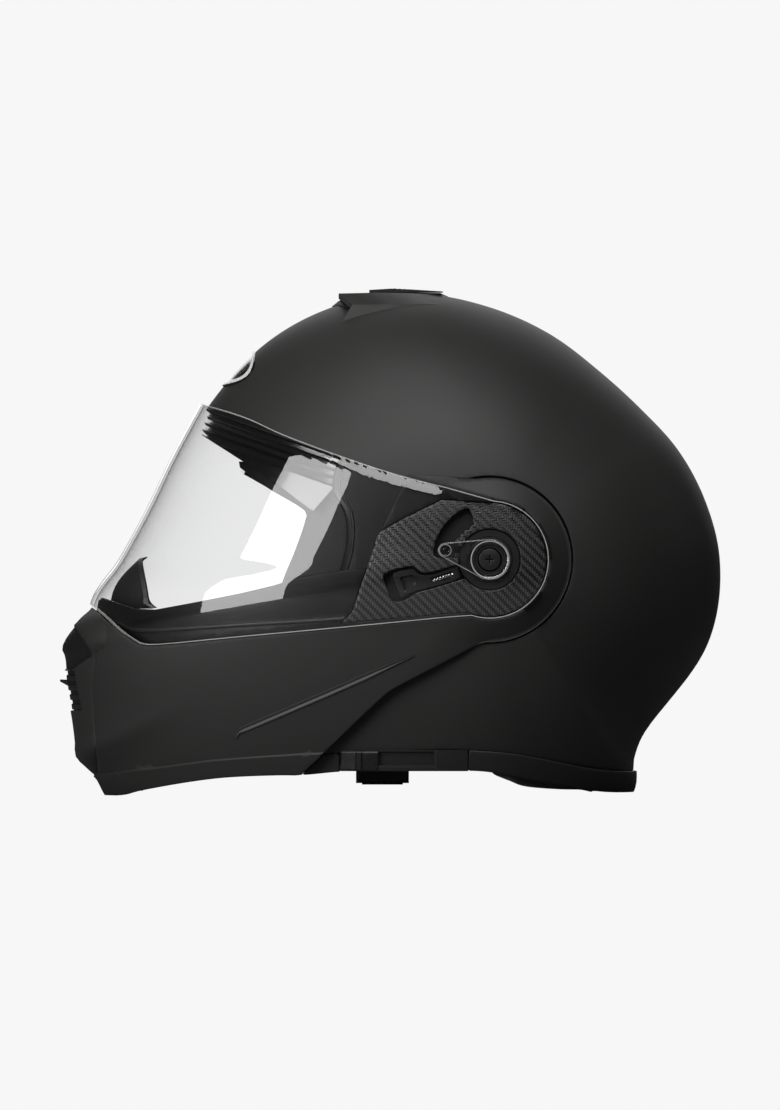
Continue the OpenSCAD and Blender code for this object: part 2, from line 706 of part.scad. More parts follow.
outer_shell();
lower_edge_trim();
eyeport_gasket();
brow_frame();
eps_liner();
crown_pad();
cheek_pad(1);  // cheek_pad_left
cheek_pad(-1);  // cheek_pad_right
neck_roll();
top_vent_scoop();
top_vent_slider();
brow_badge();
pivot_base(1);  // pivot_base_left
pivot_base(-1);  // pivot_base_right
pivot_screw(1);  // pivot_screw_left
pivot_screw(-1);  // pivot_screw_right
sun_visor_pin(1);  // sun_visor_pin_left
sun_visor_pin(-1);  // sun_visor_pin_right
sun_visor();
sun_slider_track();
sun_slider_knob();
latch_striker(1);  // latch_striker_left
latch_striker(-1);  // latch_striker_right
latch_catch(1);  // latch_catch_left
latch_catch(-1);  // latch_catch_right
button_housing();
release_button();
strap_anchor(1);  // strap_anchor_left
strap_anchor(-1);  // strap_anchor_right
chin_strap_left();
chin_strap_right();
buckle_frame();
buckle_pin();
buckle_lever();
strap_tongue();
chin_bar_shell();
chin_pad();
breath_guard();
chin_vent_grille();
chin_vent_shutter();
hinge_arm(1);  // hinge_arm_left
hinge_arm(-1);  // hinge_arm_right
side_plate(1);  // side_plate_left
side_plate(-1);  // side_plate_right
visor_hub(1);  // visor_hub_left
visor_hub(-1);  // visor_hub_right
hinge_screws();
release_lever(1);  // release_lever_left
release_lever(-1);  // release_lever_right
lever_spring(1);  // lever_spring_left
lever_spring(-1);  // lever_spring_right
visor_lens();
visor_boss(1);  // visor_boss_left
visor_boss(-1);  // visor_boss_right
visor_seal();
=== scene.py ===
import math

import bmesh
import bpy
import numpy as np
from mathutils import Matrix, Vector


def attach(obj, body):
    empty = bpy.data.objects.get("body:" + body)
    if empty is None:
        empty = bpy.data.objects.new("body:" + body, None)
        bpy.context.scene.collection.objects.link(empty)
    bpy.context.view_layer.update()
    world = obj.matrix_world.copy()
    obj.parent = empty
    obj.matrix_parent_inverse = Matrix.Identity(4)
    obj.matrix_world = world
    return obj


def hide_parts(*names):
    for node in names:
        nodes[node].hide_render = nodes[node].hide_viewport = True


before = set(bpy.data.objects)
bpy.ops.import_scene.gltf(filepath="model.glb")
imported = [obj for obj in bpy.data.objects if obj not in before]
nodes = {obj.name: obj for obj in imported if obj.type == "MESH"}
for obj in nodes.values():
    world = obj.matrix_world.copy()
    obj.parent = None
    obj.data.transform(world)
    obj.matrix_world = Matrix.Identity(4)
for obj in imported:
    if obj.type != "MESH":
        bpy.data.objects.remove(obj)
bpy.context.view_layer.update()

MM = 0.001
PIVOT = np.array([52.5, 125.0])  # the flip axis, side view [y, z] in mm
FLAT = 2.4  # on an egg, (x / half-width) ** 2 + (r / radius) ** FLAT = 1
NARROW = 0.08  # share of its width that an egg has lost at z = 0

# ------------------------------------------------ profiles about the flip axis, [angle, radius]
SHELL = [
    (-58, 143), (-54, 131), (-48, 123.5), (-38, 121.5), (-20, 124.5), (0, 122.5), (15, 119), (30, 116),
    (45, 113.5), (60, 116), (75, 124), (90, 134), (105, 146), (120, 156.5), (135, 164.5), (151, 169.5),
    (170, 178), (190, 205), (210, 218), (231, 224), (255, 220), (270, 198), (285, 166),
]
CHIN_SIDE = [
    (-90, 170), (-45, 116), (0, 110), (45, 112), (90, 130), (120, 158), (150, 174.5), (172, 184),
    (184, 214), (192, 230), (206, 236), (231, 238), (250, 226),
]
CHIN_FRONT = [
    (-90, 170), (0, 110), (90, 130), (150, 174.5), (172, 184), (184, 205), (187.3, 212.2), (189, 222.8),
    (
        191.5, 231.9
    ), (193, 231.4), (195.7, 232.8), (200.6, 235.6), (203.8, 239), (205.4, 241.8), (207.3, 239.6),
    (209.1, 237.9), (211.3, 238.3), (220, 238.5), (231, 238), (250, 226),
]
VISOR = [
    (-60, 214), (0, 190), (90, 172), (153, 174.3), (163, 177.5), (172, 184.2), (180, 196.5), (186.4, 213),
    (200, 219), (240, 218),
]


def radius_table(t):
    """A profile's radius at every half degree, on a smooth closed curve through its knots."""
    t = sorted((a % 360, r) for a, r in t)
    n = len(t)
    ang = np.array([t[i % n][0] + 360 * (i // n) for i in range(-2, n + 3)], float)
    rad = np.array([t[i % n][1] for i in range(-2, n + 3)], float)
    slope = np.zeros(len(ang))
    slope[1:-1] = (rad[2:] - rad[:-2]) / (ang[2:] - ang[:-2])
    q = np.arange(0, 360.5, 0.5)
    k = np.clip(np.searchsorted(ang, q, side="right") - 1, 1, len(ang) - 3)
    h = ang[k + 1] - ang[k]
    u = (q - ang[k]) / h
    return (
        (2 * u**3 - 3 * u**2 + 1) * rad[k] + (u**3 - 2 * u**2 + u) * h * slope[k]
        + (3 * u**2 - 2 * u**3) * rad[k + 1] + (u**3 - u**2) * h * slope[k + 1]
    )


def smooth01(v):
    v = np.clip(v, 0, 1)
    return v * v * (3 - 2 * v)


class Egg:
    """A closed egg about the flip axis: half-width w, a side profile, and a front one near the centre."""

    def __init__(self, w, side, front=None, inset=0.0):
        self.w = w
        self.side = radius_table(side) - inset
        self.front = self.side if front is None else radius_table(front) - inset

    def radius(self, th, ta):
        q = np.degrees(th) % 360
        grid = np.arange(0, 360.5, 0.5)
        a = np.interp(q, grid, self.side)
        b = np.interp(q, grid, self.front)
        return a + (b - a) * smooth01((np.degrees(ta) - 40) / 38)

    def at(self, th, ta):
        r = self.radius(th, ta) * np.sin(ta) ** (2 / FLAT)
        z = PIVOT[1] + r * np.sin(th)
        x = self.w * np.cos(ta) * narrow(z)
        return np.stack([x, PIVOT[0] + r * np.cos(th), z], -1)

    def lift(self, yz):
        """The x of side-view points on the surface."""
        yz = np.atleast_2d(np.asarray(yz, float))
        d = yz - PIVOT
        th = np.arctan2(d[:, 1], d[:, 0])
        r = np.hypot(d[:, 0], d[:, 1])
        ta = np.full(len(r), 0.7)
        for _ in range(30):
            ta = np.arcsin(np.clip((r / self.radius(th, ta)), 0, 1) ** (FLAT / 2))
        return self.w * np.cos(ta) * narrow(yz[:, 1])


def narrow(z):
    return 1 - NARROW * (np.maximum(0, PIVOT[1] - z) / PIVOT[1]) ** 2


# ---------------------------------------------------------------- side-view curves
def curve(p, steps=6):
    p = [np.array(q, float) for q in p]
    out = []
    for i in range(len(p) - 1):
        a, b, c, d = p[max(i - 1, 0)], p[i], p[i + 1], p[min(i + 2, len(p) - 1)]
        for k in range(steps + (i == len(p) - 2)):
            u = k / steps
            out.append(
                0.5
                * (
                    2 * b + (c - a) * u + (2 * a - 5 * b + 4 * c - d) * u**2 + (3 * b - a - 3 * c + d)
                    * u**3
                )
            )
    return [tuple(q) for q in out]


def polar(r, a):
    return (PIVOT[0] + r * math.cos(math.radians(a)), PIVOT[1] + r * math.sin(math.radians(a)))


def arc(r, a, b, steps=24):
    return [polar(r, a + (b - a) * k / steps) for k in range(steps + 1)]


def shifted(p, dy=0.0, dz=0.0):
    return [(q[0] + dy, q[1] + dz) for q in p]


def within(poly):
    """Signed distance in the side view to a closed outline, negative inside."""
    a = np.array(poly, float)
    b = np.roll(a, -1, 0)

    def f(p):
        q = p[:, 1:3]
        best = np.full(len(q), 1e9)
        odd = np.zeros(len(q), bool)
        for (ay, az), (by, bz) in zip(a, b):
            ey, ez = by - ay, bz - az
            n = ey * ey + ez * ez
            if n < 1e-12:
                continue
            wy, wz = q[:, 0] - ay, q[:, 1] - az
            t = np.clip((wy * ey + wz * ez) / n, 0, 1)
            best = np.minimum(best, (wy - t * ey) ** 2 + (wz - t * ez) ** 2)
            cross = (az <= q[:, 1]) != (bz <= q[:, 1])
            if cross.any() and abs(ez) > 1e-12:
                odd ^= cross & (q[:, 0] < ay + (q[:, 1] - az) * ey / ez)
        return np.where(odd, -1, 1) * np.sqrt(best)

    return f


def below(line):
    """Height above an open line that runs along Y: negative under it."""
    ly = np.array([q[0] for q in line], float)
    lz = np.array([q[1] for q in line], float)
    return lambda p: p[:, 2] - np.interp(p[:, 1], ly, lz)


def both_of(*fs):
    return lambda p: np.max([f(p) for f in fs], 0)


def outside(f, gap=0.0):
    return lambda p: gap - f(p)


def hub_distance(p):
    return np.hypot(p[:, 1] - PIVOT[0], p[:, 2] - PIVOT[1])


def turn_of(p):
    """The angle about the flip axis in degrees, 0 to the rear and 90 up."""
    return np.degrees(np.arctan2(p[:, 2] - PIVOT[1], p[:, 1] - PIVOT[0]))


BROW = [(-118, 211), (-95.8, 203.6), (5, 167.4)]
EYEPORT = [(-24, 175), (-26, 162), (-20, 150), (-19, 135), (-23, 118), (-31, 104), (-37, 96)]
SEAM = [(47, 80.2), (5.6, 58.9), (-4.5, 52), (-27.9, 29.7), (-46.5, 12)]
BAND_TOP = [
    (-60, 21), (-37, 22.2), (0, 24), (24, 24.7), (42, 24.4), (68, 22.2), (102, 15.6), (116, 13.8),
    (128, 13), (150, 13)
]
BAND_LOW = [
    (-60, 12), (-45, 11.4), (-24, 13.2), (5, 13.2), (42, 13.6), (59, 11.8), (81, 7.6), (113, 2.8),
    (150, 2.4)
]
VISOR_LOW = [
    (-185, 119), (-159, 101), (-144.2, 88.1), (-137, 82.8), (-130.4, 79.9), (-116, 80.4), (-86.3, 83.3),
    (-19.9, 89.5), (30, 94.4)
]
VISOR_TOP = [
    (24.7, 164.6), (-5.6, 173.1), (-53.4, 190.1), (-76.2, 200.2), (-95.8, 206.4), (-103, 207.6), (-130, 206)
]
EAR_R = 44.0
EYE_R = 31.2
PLATE = (
    [(-20, 97), (-26, 91.6), (-5, 93.4), (10, 94.6), (30, 96.6)]
    + arc(29.9, -112, 88)
    + [(27, 156.4), (5, 145.5), (-6, 139.1)]
)
VISOR_SHAPE = curve(VISOR_LOW, 5) + arc(EYE_R, -108, 86, 40) + curve(VISOR_TOP, 5) + [(-185, 206)]
CHIN_LOW = curve(
    [
        (-46.5, 11.2), (-60.3, 11.3), (-86.3, 10.1), (-107.5, 7.4), (-130.4, 3.2), (-139, 0.9), (-146, 0.2),
        (-155, 0), (-190, 0)
    ], 5
)


# ---------------------------------------------------------------- surfaces with curves cut into them
class Skin:
    """Half (x >= 0) of an egg as cells that curves are cut into, made into a wall with rounded rims."""

    def __init__(self, egg, n=360, m=90, region=None):
        self.egg, self.n, self.m = egg, n, m
        i, j = np.meshgrid(np.arange(n), np.arange(1, m + 1))
        self.ij = np.stack([i.ravel(), j.ravel()], -1).astype(float)
        keep = np.ones(len(self.ij), bool) if region is None else region(self.at(self.ij)) < 9
        a = (np.arange(m - 1)[:, None] * n + np.arange(n)[None, :]).ravel()
        b = (np.arange(m - 1)[:, None] * n + (np.arange(n)[None, :] + 1) % n).ravel()
        quads = np.stack([a, b, b + n, a + n], -1)
        quads = quads[keep[quads].any(1)]
        self.polys = [list(map(int, q)) for q in quads]
        self.tags = [0] * len(self.polys)
        self.pinned = np.zeros(len(self.ij), bool)
        self.cuts = 0
        if region is not None:
            self.cut(region, clip=True)

    def at(self, ij):
        return self.egg.at(ij[:, 0] * 2 * np.pi / self.n, np.minimum(ij[:, 1], self.m) * (np.pi / 2) / self.m)

    def cut(self, f, clip=False, snap=0.36):
        """Cuts the cells along f = 0. Those outside are dropped with clip, and get a tag bit without."""
        used = np.unique(np.concatenate([np.array(p) for p in self.polys]))
        val = np.full(len(self.ij), 99.0)
        val[used] = f(self.at(self.ij[used]))
        near = used[np.abs(val[used]) < 7]
        near = near[~self.pinned[near]]
        if len(near):
            q = self.ij[near].copy()
            start = q.copy()
            seam = q[:, 1] >= self.m - 1e-6
            ok = np.ones(len(q), bool)
            h = 0.03
            for k in range(4):
                v = f(self.at(q))
                di, dj = np.array([h, 0.0]), np.array([0.0, h])
                gi = (f(self.at(q + di)) - f(self.at(q - di))) / (2 * h)
                gj = (f(self.at(q)) - f(self.at(q - dj))) / h
                gj[seam] = 0
                g2 = gi**2 + gj**2 + 1e-9
                if k == 0:
                    ok = np.abs(v) / np.sqrt(g2) < snap
                q[:, 0] -= v / g2 * gi
                q[:, 1] -= v / g2 * gj
                q[:, 1] = np.clip(q[:, 1], 0.5, self.m)
                q[seam, 1] = self.m
            ok &= (np.abs(q - start).max(1) < 0.55) & (np.abs(f(self.at(q))) < 0.03)
            ok &= seam | (q[:, 1] < self.m - 0.3)
            hit = near[ok]
            self.ij[hit] = q[ok]
            self.pinned[hit] = True
            val[hit] = 0.0
        side = np.where(np.abs(val) < 1e-9, 0, np.sign(val)).astype(int)
        edges = {}
        for p in self.polys:
            for a, b in zip(p, p[1:] + p[:1]):
                if side[a] * side[b] < 0:
                    edges[(min(a, b), max(a, b))] = 0
        if edges:
            keys = list(edges)
            qa = self.ij[[k[0] for k in keys]]
            qb = self.ij[[k[1] for k in keys]].copy()
            gap = qb[:, 0] - qa[:, 0]
            qb[:, 0] -= self.n * np.round(gap / self.n)
            va = val[[k[0] for k in keys]]
            lo, hi = np.zeros(len(keys)), np.ones(len(keys))
            for _ in range(14):
                mid = (lo + hi) / 2
                vm = f(self.at(qa + (qb - qa) * mid[:, None]))
                same = vm * va > 0
                lo, hi = np.where(same, mid, lo), np.where(same, hi, mid)
            new = qa + (qb - qa) * ((lo + hi) / 2)[:, None]
            base = len(self.ij)
            self.ij = np.vstack([self.ij, new])
            self.pinned = np.concatenate([self.pinned, np.ones(len(keys), bool)])
            side = np.concatenate([side, np.zeros(len(keys), int)])
            for k, key in enumerate(keys):
                edges[key] = base + k
        bit = 1 << self.cuts
        self.cuts += 0 if clip else 1
        polys, tags = [], []
        flat = []
        for p, t in zip(self.polys, self.tags):
            s = [side[v] for v in p]
            if max(s) <= 0 and min(s) < 0:
                polys.append(p)
                tags.append(t)
            elif min(s) >= 0 and max(s) > 0:
                if not clip:
                    polys.append(p)
                    tags.append(t | bit)
            elif max(s) == 0 and min(s) == 0:
                flat.append((p, t))
            else:
                neg, pos = [], []
                for a, b in zip(p, p[1:] + p[:1]):
                    if side[a] <= 0:
                        neg.append(a)
                    if side[a] >= 0:
                        pos.append(a)
                    if side[a] * side[b] < 0:
                        e = edges[(min(a, b), max(a, b))]
                        neg.append(e)
                        pos.append(e)
                if len(neg) > 2:
                    polys.append(neg)
                    tags.append(t)
                if len(pos) > 2 and not clip:
                    polys.append(pos)
                    tags.append(t | bit)
        for p, t in flat:
            out = f(self.at(self.ij[p]).mean(0)[None, :])[0] > 0
            if not (out and clip):
                polys.append(p)
                tags.append(t | (bit if out else 0))
        self.polys, self.tags = polys, tags
        return bit

    def normals(self, ij):
        h = 0.02
        th0 = self.at(ij - [h, 0])
        th1 = self.at(ij + [h, 0])
        low = np.minimum(ij[:, 1], self.m)
        down = ij.copy()
        down[:, 1] = low - h
        a = self.at(down)
        b = self.at(np.stack([ij[:, 0], low], -1))
        n = np.cross(th1 - th0, b - a)
        n /= np.linalg.norm(n, axis=1)[:, None] + 1e-12
        out = self.at(ij) - np.array([0, PIVOT[0], PIVOT[1]])
        n *= np.where((n * out).sum(1) < 0, -1, 1)[:, None]
        seam = ij[:, 1] >= self.m - 1e-6
        n[seam, 0] = 0
        n /= np.linalg.norm(n, axis=1)[:, None] + 1e-12
        return n

    def solid(
        self, name, thick, relief=None, rim=0.6, mats=(), pick=None, sides="both", sharp=50, under=None,
        inner=0
    ):
        """Makes the wall. relief(points) lifts its outside, pick(tag, centre) is a cell's material."""
        used = np.unique(np.concatenate([np.array(p) for p in self.polys]))
        new = -np.ones(len(self.ij), int)
        new[used] = np.arange(len(used))
        ij = self.ij[used]
        polys = [[int(new[v]) for v in p] for p in self.polys]
        base = self.at(ij)
        nrm = self.normals(ij)
        seam = ij[:, 1] >= self.m - 1e-6
        lift = np.zeros(len(base)) if relief is None else relief(base)
        top = base + nrm * lift[:, None]
        depth = np.full(len(base), float(thick)) if under is None else under(base)
        low = base - nrm * depth[:, None]
        seen = {}
        for p in polys:
            for a, b in zip(p, p[1:] + p[:1]):
                seen[(a, b)] = True
        rim_edges = [(a, b) for (a, b) in seen if (b, a) not in seen and not (seam[a] and seam[b])]
        # The grid's cells turn one way for the whole surface, so one test says which way is out.
        p0 = polys[len(polys) // 2]
        turn = np.cross(base[p0[1]] - base[p0[0]], base[p0[2]] - base[p0[1]]) @ nrm[p0[0]]
        out = np.zeros_like(base)
        for a, b in rim_edges:
            t = base[b] - base[a]
            o = np.cross(t, nrm[a] + nrm[b]) * (1 if turn > 0 else -1)
            size = np.linalg.norm(o)
            if size > 1e-9:
                out[a] += o / size
                out[b] += o / size
        rim_v = sorted({v for e in rim_edges for v in e})
        out[seam, 0] = 0
        size = np.linalg.norm(out, axis=1)
        out[size > 0] /= size[size > 0][:, None]
        e1, e2 = rim, min(rim, 0.4)
        verts = [top.copy(), low.copy()]
        n0 = len(base)
        idx = {v: k for k, v in enumerate(rim_v)}
        rv = np.array(rim_v, int)
        rings = []
        if len(rv):
            verts[0][rv] -= out[rv] * e1
            verts[1][rv] -= out[rv] * e2
            for deg in (30, 60, 90):
                c, s = math.cos(math.radians(deg)), math.sin(math.radians(deg))
                rings.append(top[rv] - out[rv] * e1 * (1 - s) - nrm[rv] * e1 * (1 - c))
            for deg in (90, 45):
                c, s = math.cos(math.radians(deg)), math.sin(math.radians(deg))
                rings.append(low[rv] - out[rv] * e2 * (1 - s) + nrm[rv] * e2 * (1 - c))
        count = 2 * n0
        starts = []
        for r in rings:
            starts.append(count)
            verts.append(r)
            count += len(r)
        v = np.vstack(verts)
        on_seam = np.concatenate(
            [seam, seam] + [seam[rv] for _ in rings]
        ) if len(rv) else np.concatenate([seam, seam])
        v[on_seam, 0] = 0
        faces, kinds = [], []
        flip = turn < 0
        names = [m.name for m in mats]
        for p, t in zip(polys, self.tags):
            k = 0 if pick is None else names.index(pick(t, base[p].mean(0)).name)
            faces.append(p[::-1] if flip else p)
            kinds.append(k)
            q = [a + n0 for a in p]
            faces.append(q if flip else q[::-1])
            kinds.append(inner)
        for a, b in rim_edges:
            chain_a = [a] + [s + idx[a] for s in starts] + [a + n0]
            chain_b = [b] + [s + idx[b] for s in starts] + [b + n0]
            for k in range(len(chain_a) - 1):
                quad = [chain_b[k], chain_a[k], chain_a[k + 1], chain_b[k + 1]]
                faces.append(quad[::-1] if flip else quad)
                kinds.append(0)
        if sides == "both":
            mirror = np.arange(len(v))
            other = ~on_seam
            mirror[other] = len(v) + np.arange(other.sum())
            w = v[other].copy()
            w[:, 0] *= -1
            v = np.vstack([v, w])
            more = [[int(mirror[a]) for a in f][::-1] for f in faces]
            faces, kinds = faces + more, kinds + kinds
        elif sides == "right":
            v[:, 0] *= -1
            faces = [f[::-1] for f in faces]
        return piece(name, v, faces, mats, kinds, sharp)


def piece(name, verts, faces, mats=(), kinds=None, sharp=50):
    """A mesh object from mm points."""
    mesh = bpy.data.meshes.new(name)
    mesh.from_pydata((np.asarray(verts, float) * MM).tolist(), [], faces)
    mesh.validate()
    for m in mats:
        mesh.materials.append(m)
    if kinds is not None and len(kinds) == len(mesh.polygons):
        mesh.polygons.foreach_set("material_index", kinds)
    mesh.polygons.foreach_set("use_smooth", [True] * len(mesh.polygons))
    mesh.update()
    bm = bmesh.new()
    bm.from_mesh(mesh)
    bmesh.ops.dissolve_degenerate(bm, dist=1e-7, edges=bm.edges)
    bmesh.ops.recalc_face_normals(bm, faces=bm.faces)
    bm.to_mesh(mesh)
    bm.free()
    mesh.set_sharp_from_angle(angle=math.radians(sharp))
    obj = bpy.data.objects.new(name, mesh)
    bpy.context.scene.collection.objects.link(obj)
    return obj


def mirrored(v, faces):
    w = np.array(v, float)
    w[:, 0] *= -1
    return w, [list(f)[::-1] for f in faces]


def one_side(v, faces, side):
    return (np.array(v, float), faces) if side == "left" else mirrored(v, faces)


def two_sides(v, faces):
    w, back = mirrored(v, faces)
    return np.vstack([v, w]), [list(f) for f in faces] + [[a + len(v) for a in f] for f in back]


def sweep_faces(n, m):
    """The faces round n stations of m points each, with one more on each end."""
    f = [
        [i * m + j, (i + 1) * m + j, (i + 1) * m + (j + 1) % m, i * m + (j + 1) % m]
        for i in range(n - 1) for j in range(m)
    ]
    return f + [list(range(m))[::-1], [(n - 1) * m + j for j in range(m)]]


def slab_faces(n, m):
    """The faces of a closed body between two grids of n x m points, one grid's points after the other's."""
    q = n * m
    f = []
    for i in range(n - 1):
        for j in range(m - 1):
            a = i * m + j
            f.append([a, a + m, a + m + 1, a + 1])
            f.append([q + a, q + a + 1, q + a + m + 1, q + a + m])
    ring = list(range(m)) + [i * m + m - 1 for i in range(1, n)]
    ring += [(n - 1) * m + j for j in range(m - 2, -1, -1)] + [i * m for i in range(n - 2, 0, -1)]
    return f + [[a, b, q + b, q + a] for a, b in zip(ring, ring[1:] + ring[:1])]


def moved(faces, start):
    return [[start + a for a in f] for f in faces]


def patch(egg, ys, zs, height, base):
    """A block of a y-z grid that lies on an egg, with its top raised by height(y, z)."""
    yy, zz = np.meshgrid(ys, zs, indexing="ij")
    x = egg.lift(np.stack([yy.ravel(), zz.ravel()], -1)).reshape(yy.shape)
    top = np.stack([x + height(yy, zz), yy, zz], -1).reshape(-1, 3)
    low = np.stack([x + base, yy, zz], -1).reshape(-1, 3)
    return np.vstack([top, low]), slab_faces(*yy.shape)


def resample(line, step):
    p = np.array(line, float)
    d = np.concatenate([[0], np.cumsum(np.linalg.norm(np.diff(p, axis=0), axis=1))])
    n = max(2, int(round(d[-1] / step)) + 1)
    t = np.linspace(0, d[-1], n)
    return np.stack([np.interp(t, d, p[:, k]) for k in range(p.shape[1])], -1), t / d[-1]


def ribbon(egg, line, section, width=lambda t: 1.0):
    """Sweeps a section of [across, height] along a side-view line on an egg."""
    c, t = resample(line, 1.5)
    d = np.gradient(c, axis=0)
    d /= np.linalg.norm(d, axis=1)[:, None] + 1e-9
    side = np.stack([-d[:, 1], d[:, 0]], -1)
    rows = []
    for across, h in section:
        yz = c + side * (across * np.array([width(u) for u in t]))[:, None]
        rows.append(np.column_stack([egg.lift(yz) + h, yz]))
    return np.stack(rows, 1).reshape(-1, 3), sweep_faces(len(c), len(section))


def lathe(ring, steps=96, centre=PIVOT):
    """Turns a closed outline of [radius, x] about an axis along X."""
    a = np.arange(steps) * 2 * np.pi / steps
    m = len(ring)
    v = [[x, centre[0] + r * math.cos(t), centre[1] + r * math.sin(t)] for t in a for r, x in ring]
    f = [
        [i * m + j, ((i + 1) % steps) * m + j, ((i + 1) % steps) * m + (j + 1) % m, i * m + (j + 1) % m]
        for i in range(steps) for j in range(m)
    ]
    return np.array(v), f


def slab(outlines, x0, x1, bevel=0.2):
    """A plate across X from a side-view outline and its holes, with its outer edge bevelled."""
    c = bpy.data.curves.new("slab", "CURVE")
    c.dimensions = "2D"
    c.fill_mode = "BOTH"
    c.extrude = (x1 - x0) / 2 - bevel
    c.bevel_depth = bevel
    c.bevel_resolution = 2
    for o in outlines:
        sp = c.splines.new("POLY")
        sp.points.add(len(o) - 1)
        for k, q in enumerate(o):
            sp.points[k].co = (q[0], q[1], 0, 1)
        sp.use_cyclic_u = True
    o = bpy.data.objects.new("slab", c)
    mesh = o.to_mesh()
    v = np.array([(x0 + x1) / 2 * np.array([1, 0, 0]) + [q.co[2], q.co[0], q.co[1]] for q in mesh.vertices])
    f = [list(q.vertices) for q in mesh.polygons]
    o.to_mesh_clear()
    bpy.data.objects.remove(o)
    bpy.data.curves.remove(c)
    return v, f


def weld(obj):
    bm = bmesh.new()
    bm.from_mesh(obj.data)
    bmesh.ops.remove_doubles(bm, verts=bm.verts, dist=1e-6)
    bmesh.ops.recalc_face_normals(bm, faces=bm.faces)
    bm.to_mesh(obj.data)
    bm.free()
    return obj


def circle(r, n=48, at=PIVOT):
    return [
        (at[0] + r * math.cos(2 * math.pi * k / n), at[1] + r * math.sin(2 * math.pi * k / n))
        for k in range(n)
    ]


def tangent_pair(a, ra, b, rb, n=24):
    """The outline of a belt round two circles."""
    a, b = np.array(a, float), np.array(b, float)
    base = math.atan2(b[1] - a[1], b[0] - a[0])
    d = math.hypot(*(b - a))
    k = math.acos((ra - rb) / d)
    out = [
        tuple(a + ra * np.array([math.cos(t), math.sin(t)]))
        for t in np.linspace(base + k, base + 2 * math.pi - k, 2 * n)
    ]
    out += [tuple(b + rb * np.array([math.cos(t), math.sin(t)])) for t in np.linspace(base - k, base + k, n)]
    return out


def put(obj, body, *replaced):
    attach(obj, body)
    if replaced:
        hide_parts(*replaced)
    return obj


# ---------------------------------------------------------------- materials
def material(name):
    m = bpy.data.materials.new(name)
    m.use_nodes = True
    nt = m.node_tree
    return m, nt, nt.nodes["Principled BSDF"]


def setting(n, **values):
    """Sets a node's inputs, or its properties. An underscore stands for a space in an input's name."""
    for k, v in values.items():
        socket = k.replace("_", " ")
        if socket in n.inputs:
            n.inputs[socket].default_value = v
        else:
            setattr(n, k, v)
    return n


def node(nt, kind, **values):
    return setting(nt.nodes.new(kind), **values)


def op(nt, kind, *terms):
    """A Math node on numbers and sockets."""
    n = node(nt, "ShaderNodeMath", operation=kind)
    for k, v in enumerate(terms):
        if isinstance(v, (int, float)):
            n.inputs[k].default_value = v
        else:
            nt.links.new(v, n.inputs[k])
    return n.outputs[0]


def object_space(nt):
    return node(nt, "ShaderNodeTexCoord").outputs["Object"]


def split_axes(nt, place):
    n = node(nt, "ShaderNodeSeparateXYZ")
    nt.links.new(place, n.inputs["Vector"])
    return n.outputs


def noise(nt, place, scale, detail, roughness=0.5):
    n = node(nt, "ShaderNodeTexNoise", Scale=scale, Detail=detail, Roughness=roughness)
    nt.links.new(place, n.inputs["Vector"])
    return n.outputs["Fac"]


def bumped(nt, shader, height, strength, distance=0.0002):
    n = node(nt, "ShaderNodeBump", Strength=strength, Distance=distance)
    nt.links.new(height, n.inputs["Height"])
    nt.links.new(n.outputs["Normal"], shader.inputs["Normal"])


def grain(nt, shader, scale, strength):
    """Fine bump from noise in object space."""
    place = object_space(nt)
    bumped(nt, shader, noise(nt, place, scale, 6.0, 0.6), strength)
    return place


def mottle(nt, shader, place, low, high, scale=9.0, socket="Base Color"):
    """Slow variation between two colours or two numbers."""
    fac = noise(nt, place, scale, 5.0)
    if socket == "Base Color":
        n = node(nt, "ShaderNodeValToRGB")
        for element, position, color in zip(n.color_ramp.elements, (0.3, 0.7), (low, high)):
            element.position = position
            element.color = (*color, 1)
        nt.links.new(fac, n.inputs["Fac"])
    else:
        n = node(nt, "ShaderNodeMapRange", From_Min=0.3, From_Max=0.7, To_Min=low, To_Max=high)
        nt.links.new(fac, n.inputs["Value"])
    nt.links.new(n.outputs[0], shader.inputs[socket])


def plastic(name, low, high, rough, rough_to, grain_scale=900.0, grain_strength=0.12, spec=0.5, coat=0.0):
    m, nt, b = material(name)
    setting(b, Specular_IOR_Level=spec, Coat_Weight=coat, Coat_Roughness=0.08)
    place = grain(nt, b, grain_scale, grain_strength)
    mottle(nt, b, place, low, high)
    mottle(nt, b, place, rough, rough_to, 25.0, "Roughness")
    return m


matte = plastic(
    "matte_black_paint", (0.0165, 0.0165, 0.0158), (0.0185, 0.0185, 0.0178), 0.56, 0.60, 1500.0, 0.10,
    spec=0.4
)
# A lighter black that paints highlights onto the chin bar's blade and the top vent's flanks: painted
# highlight, not a different paint
painted_highlight = plastic(
    "painted_highlight_black", (0.03, 0.03, 0.029), (0.038, 0.038, 0.037), 0.48, 0.54, 1500.0, 0.10
)
inner_plastic = plastic(
    "textured_black_plastic", (0.0045, 0.0045, 0.0044), (0.0065, 0.0065, 0.0063), 0.4, 0.46, 800.0, 0.3,
    spec=0.25
)
facet = plastic(
    "black_vent_plastic", (0.006, 0.006, 0.006), (0.008, 0.008, 0.0078), 0.46, 0.5, 1100.0, 0.15, spec=0.35
)
rubber = plastic("black_rubber", (0.009, 0.009, 0.009), (0.013, 0.013, 0.013), 0.42, 0.5, 700.0, 0.12)
gloss = plastic(
    "gloss_black_plastic", (0.005, 0.005, 0.0055), (0.007, 0.007, 0.0075), 0.16, 0.2, 500.0, 0.02, coat=0.5
)
satin_grey = plastic(
    "satin_slider_plastic", (0.013, 0.013, 0.0125), (0.017, 0.017, 0.0165), 0.42, 0.48, 1200.0, 0.15
)
satin = plastic("satin_black_plastic", (0.008, 0.008, 0.008), (0.012, 0.012, 0.0118), 0.34, 0.42, 900.0, 0.08)
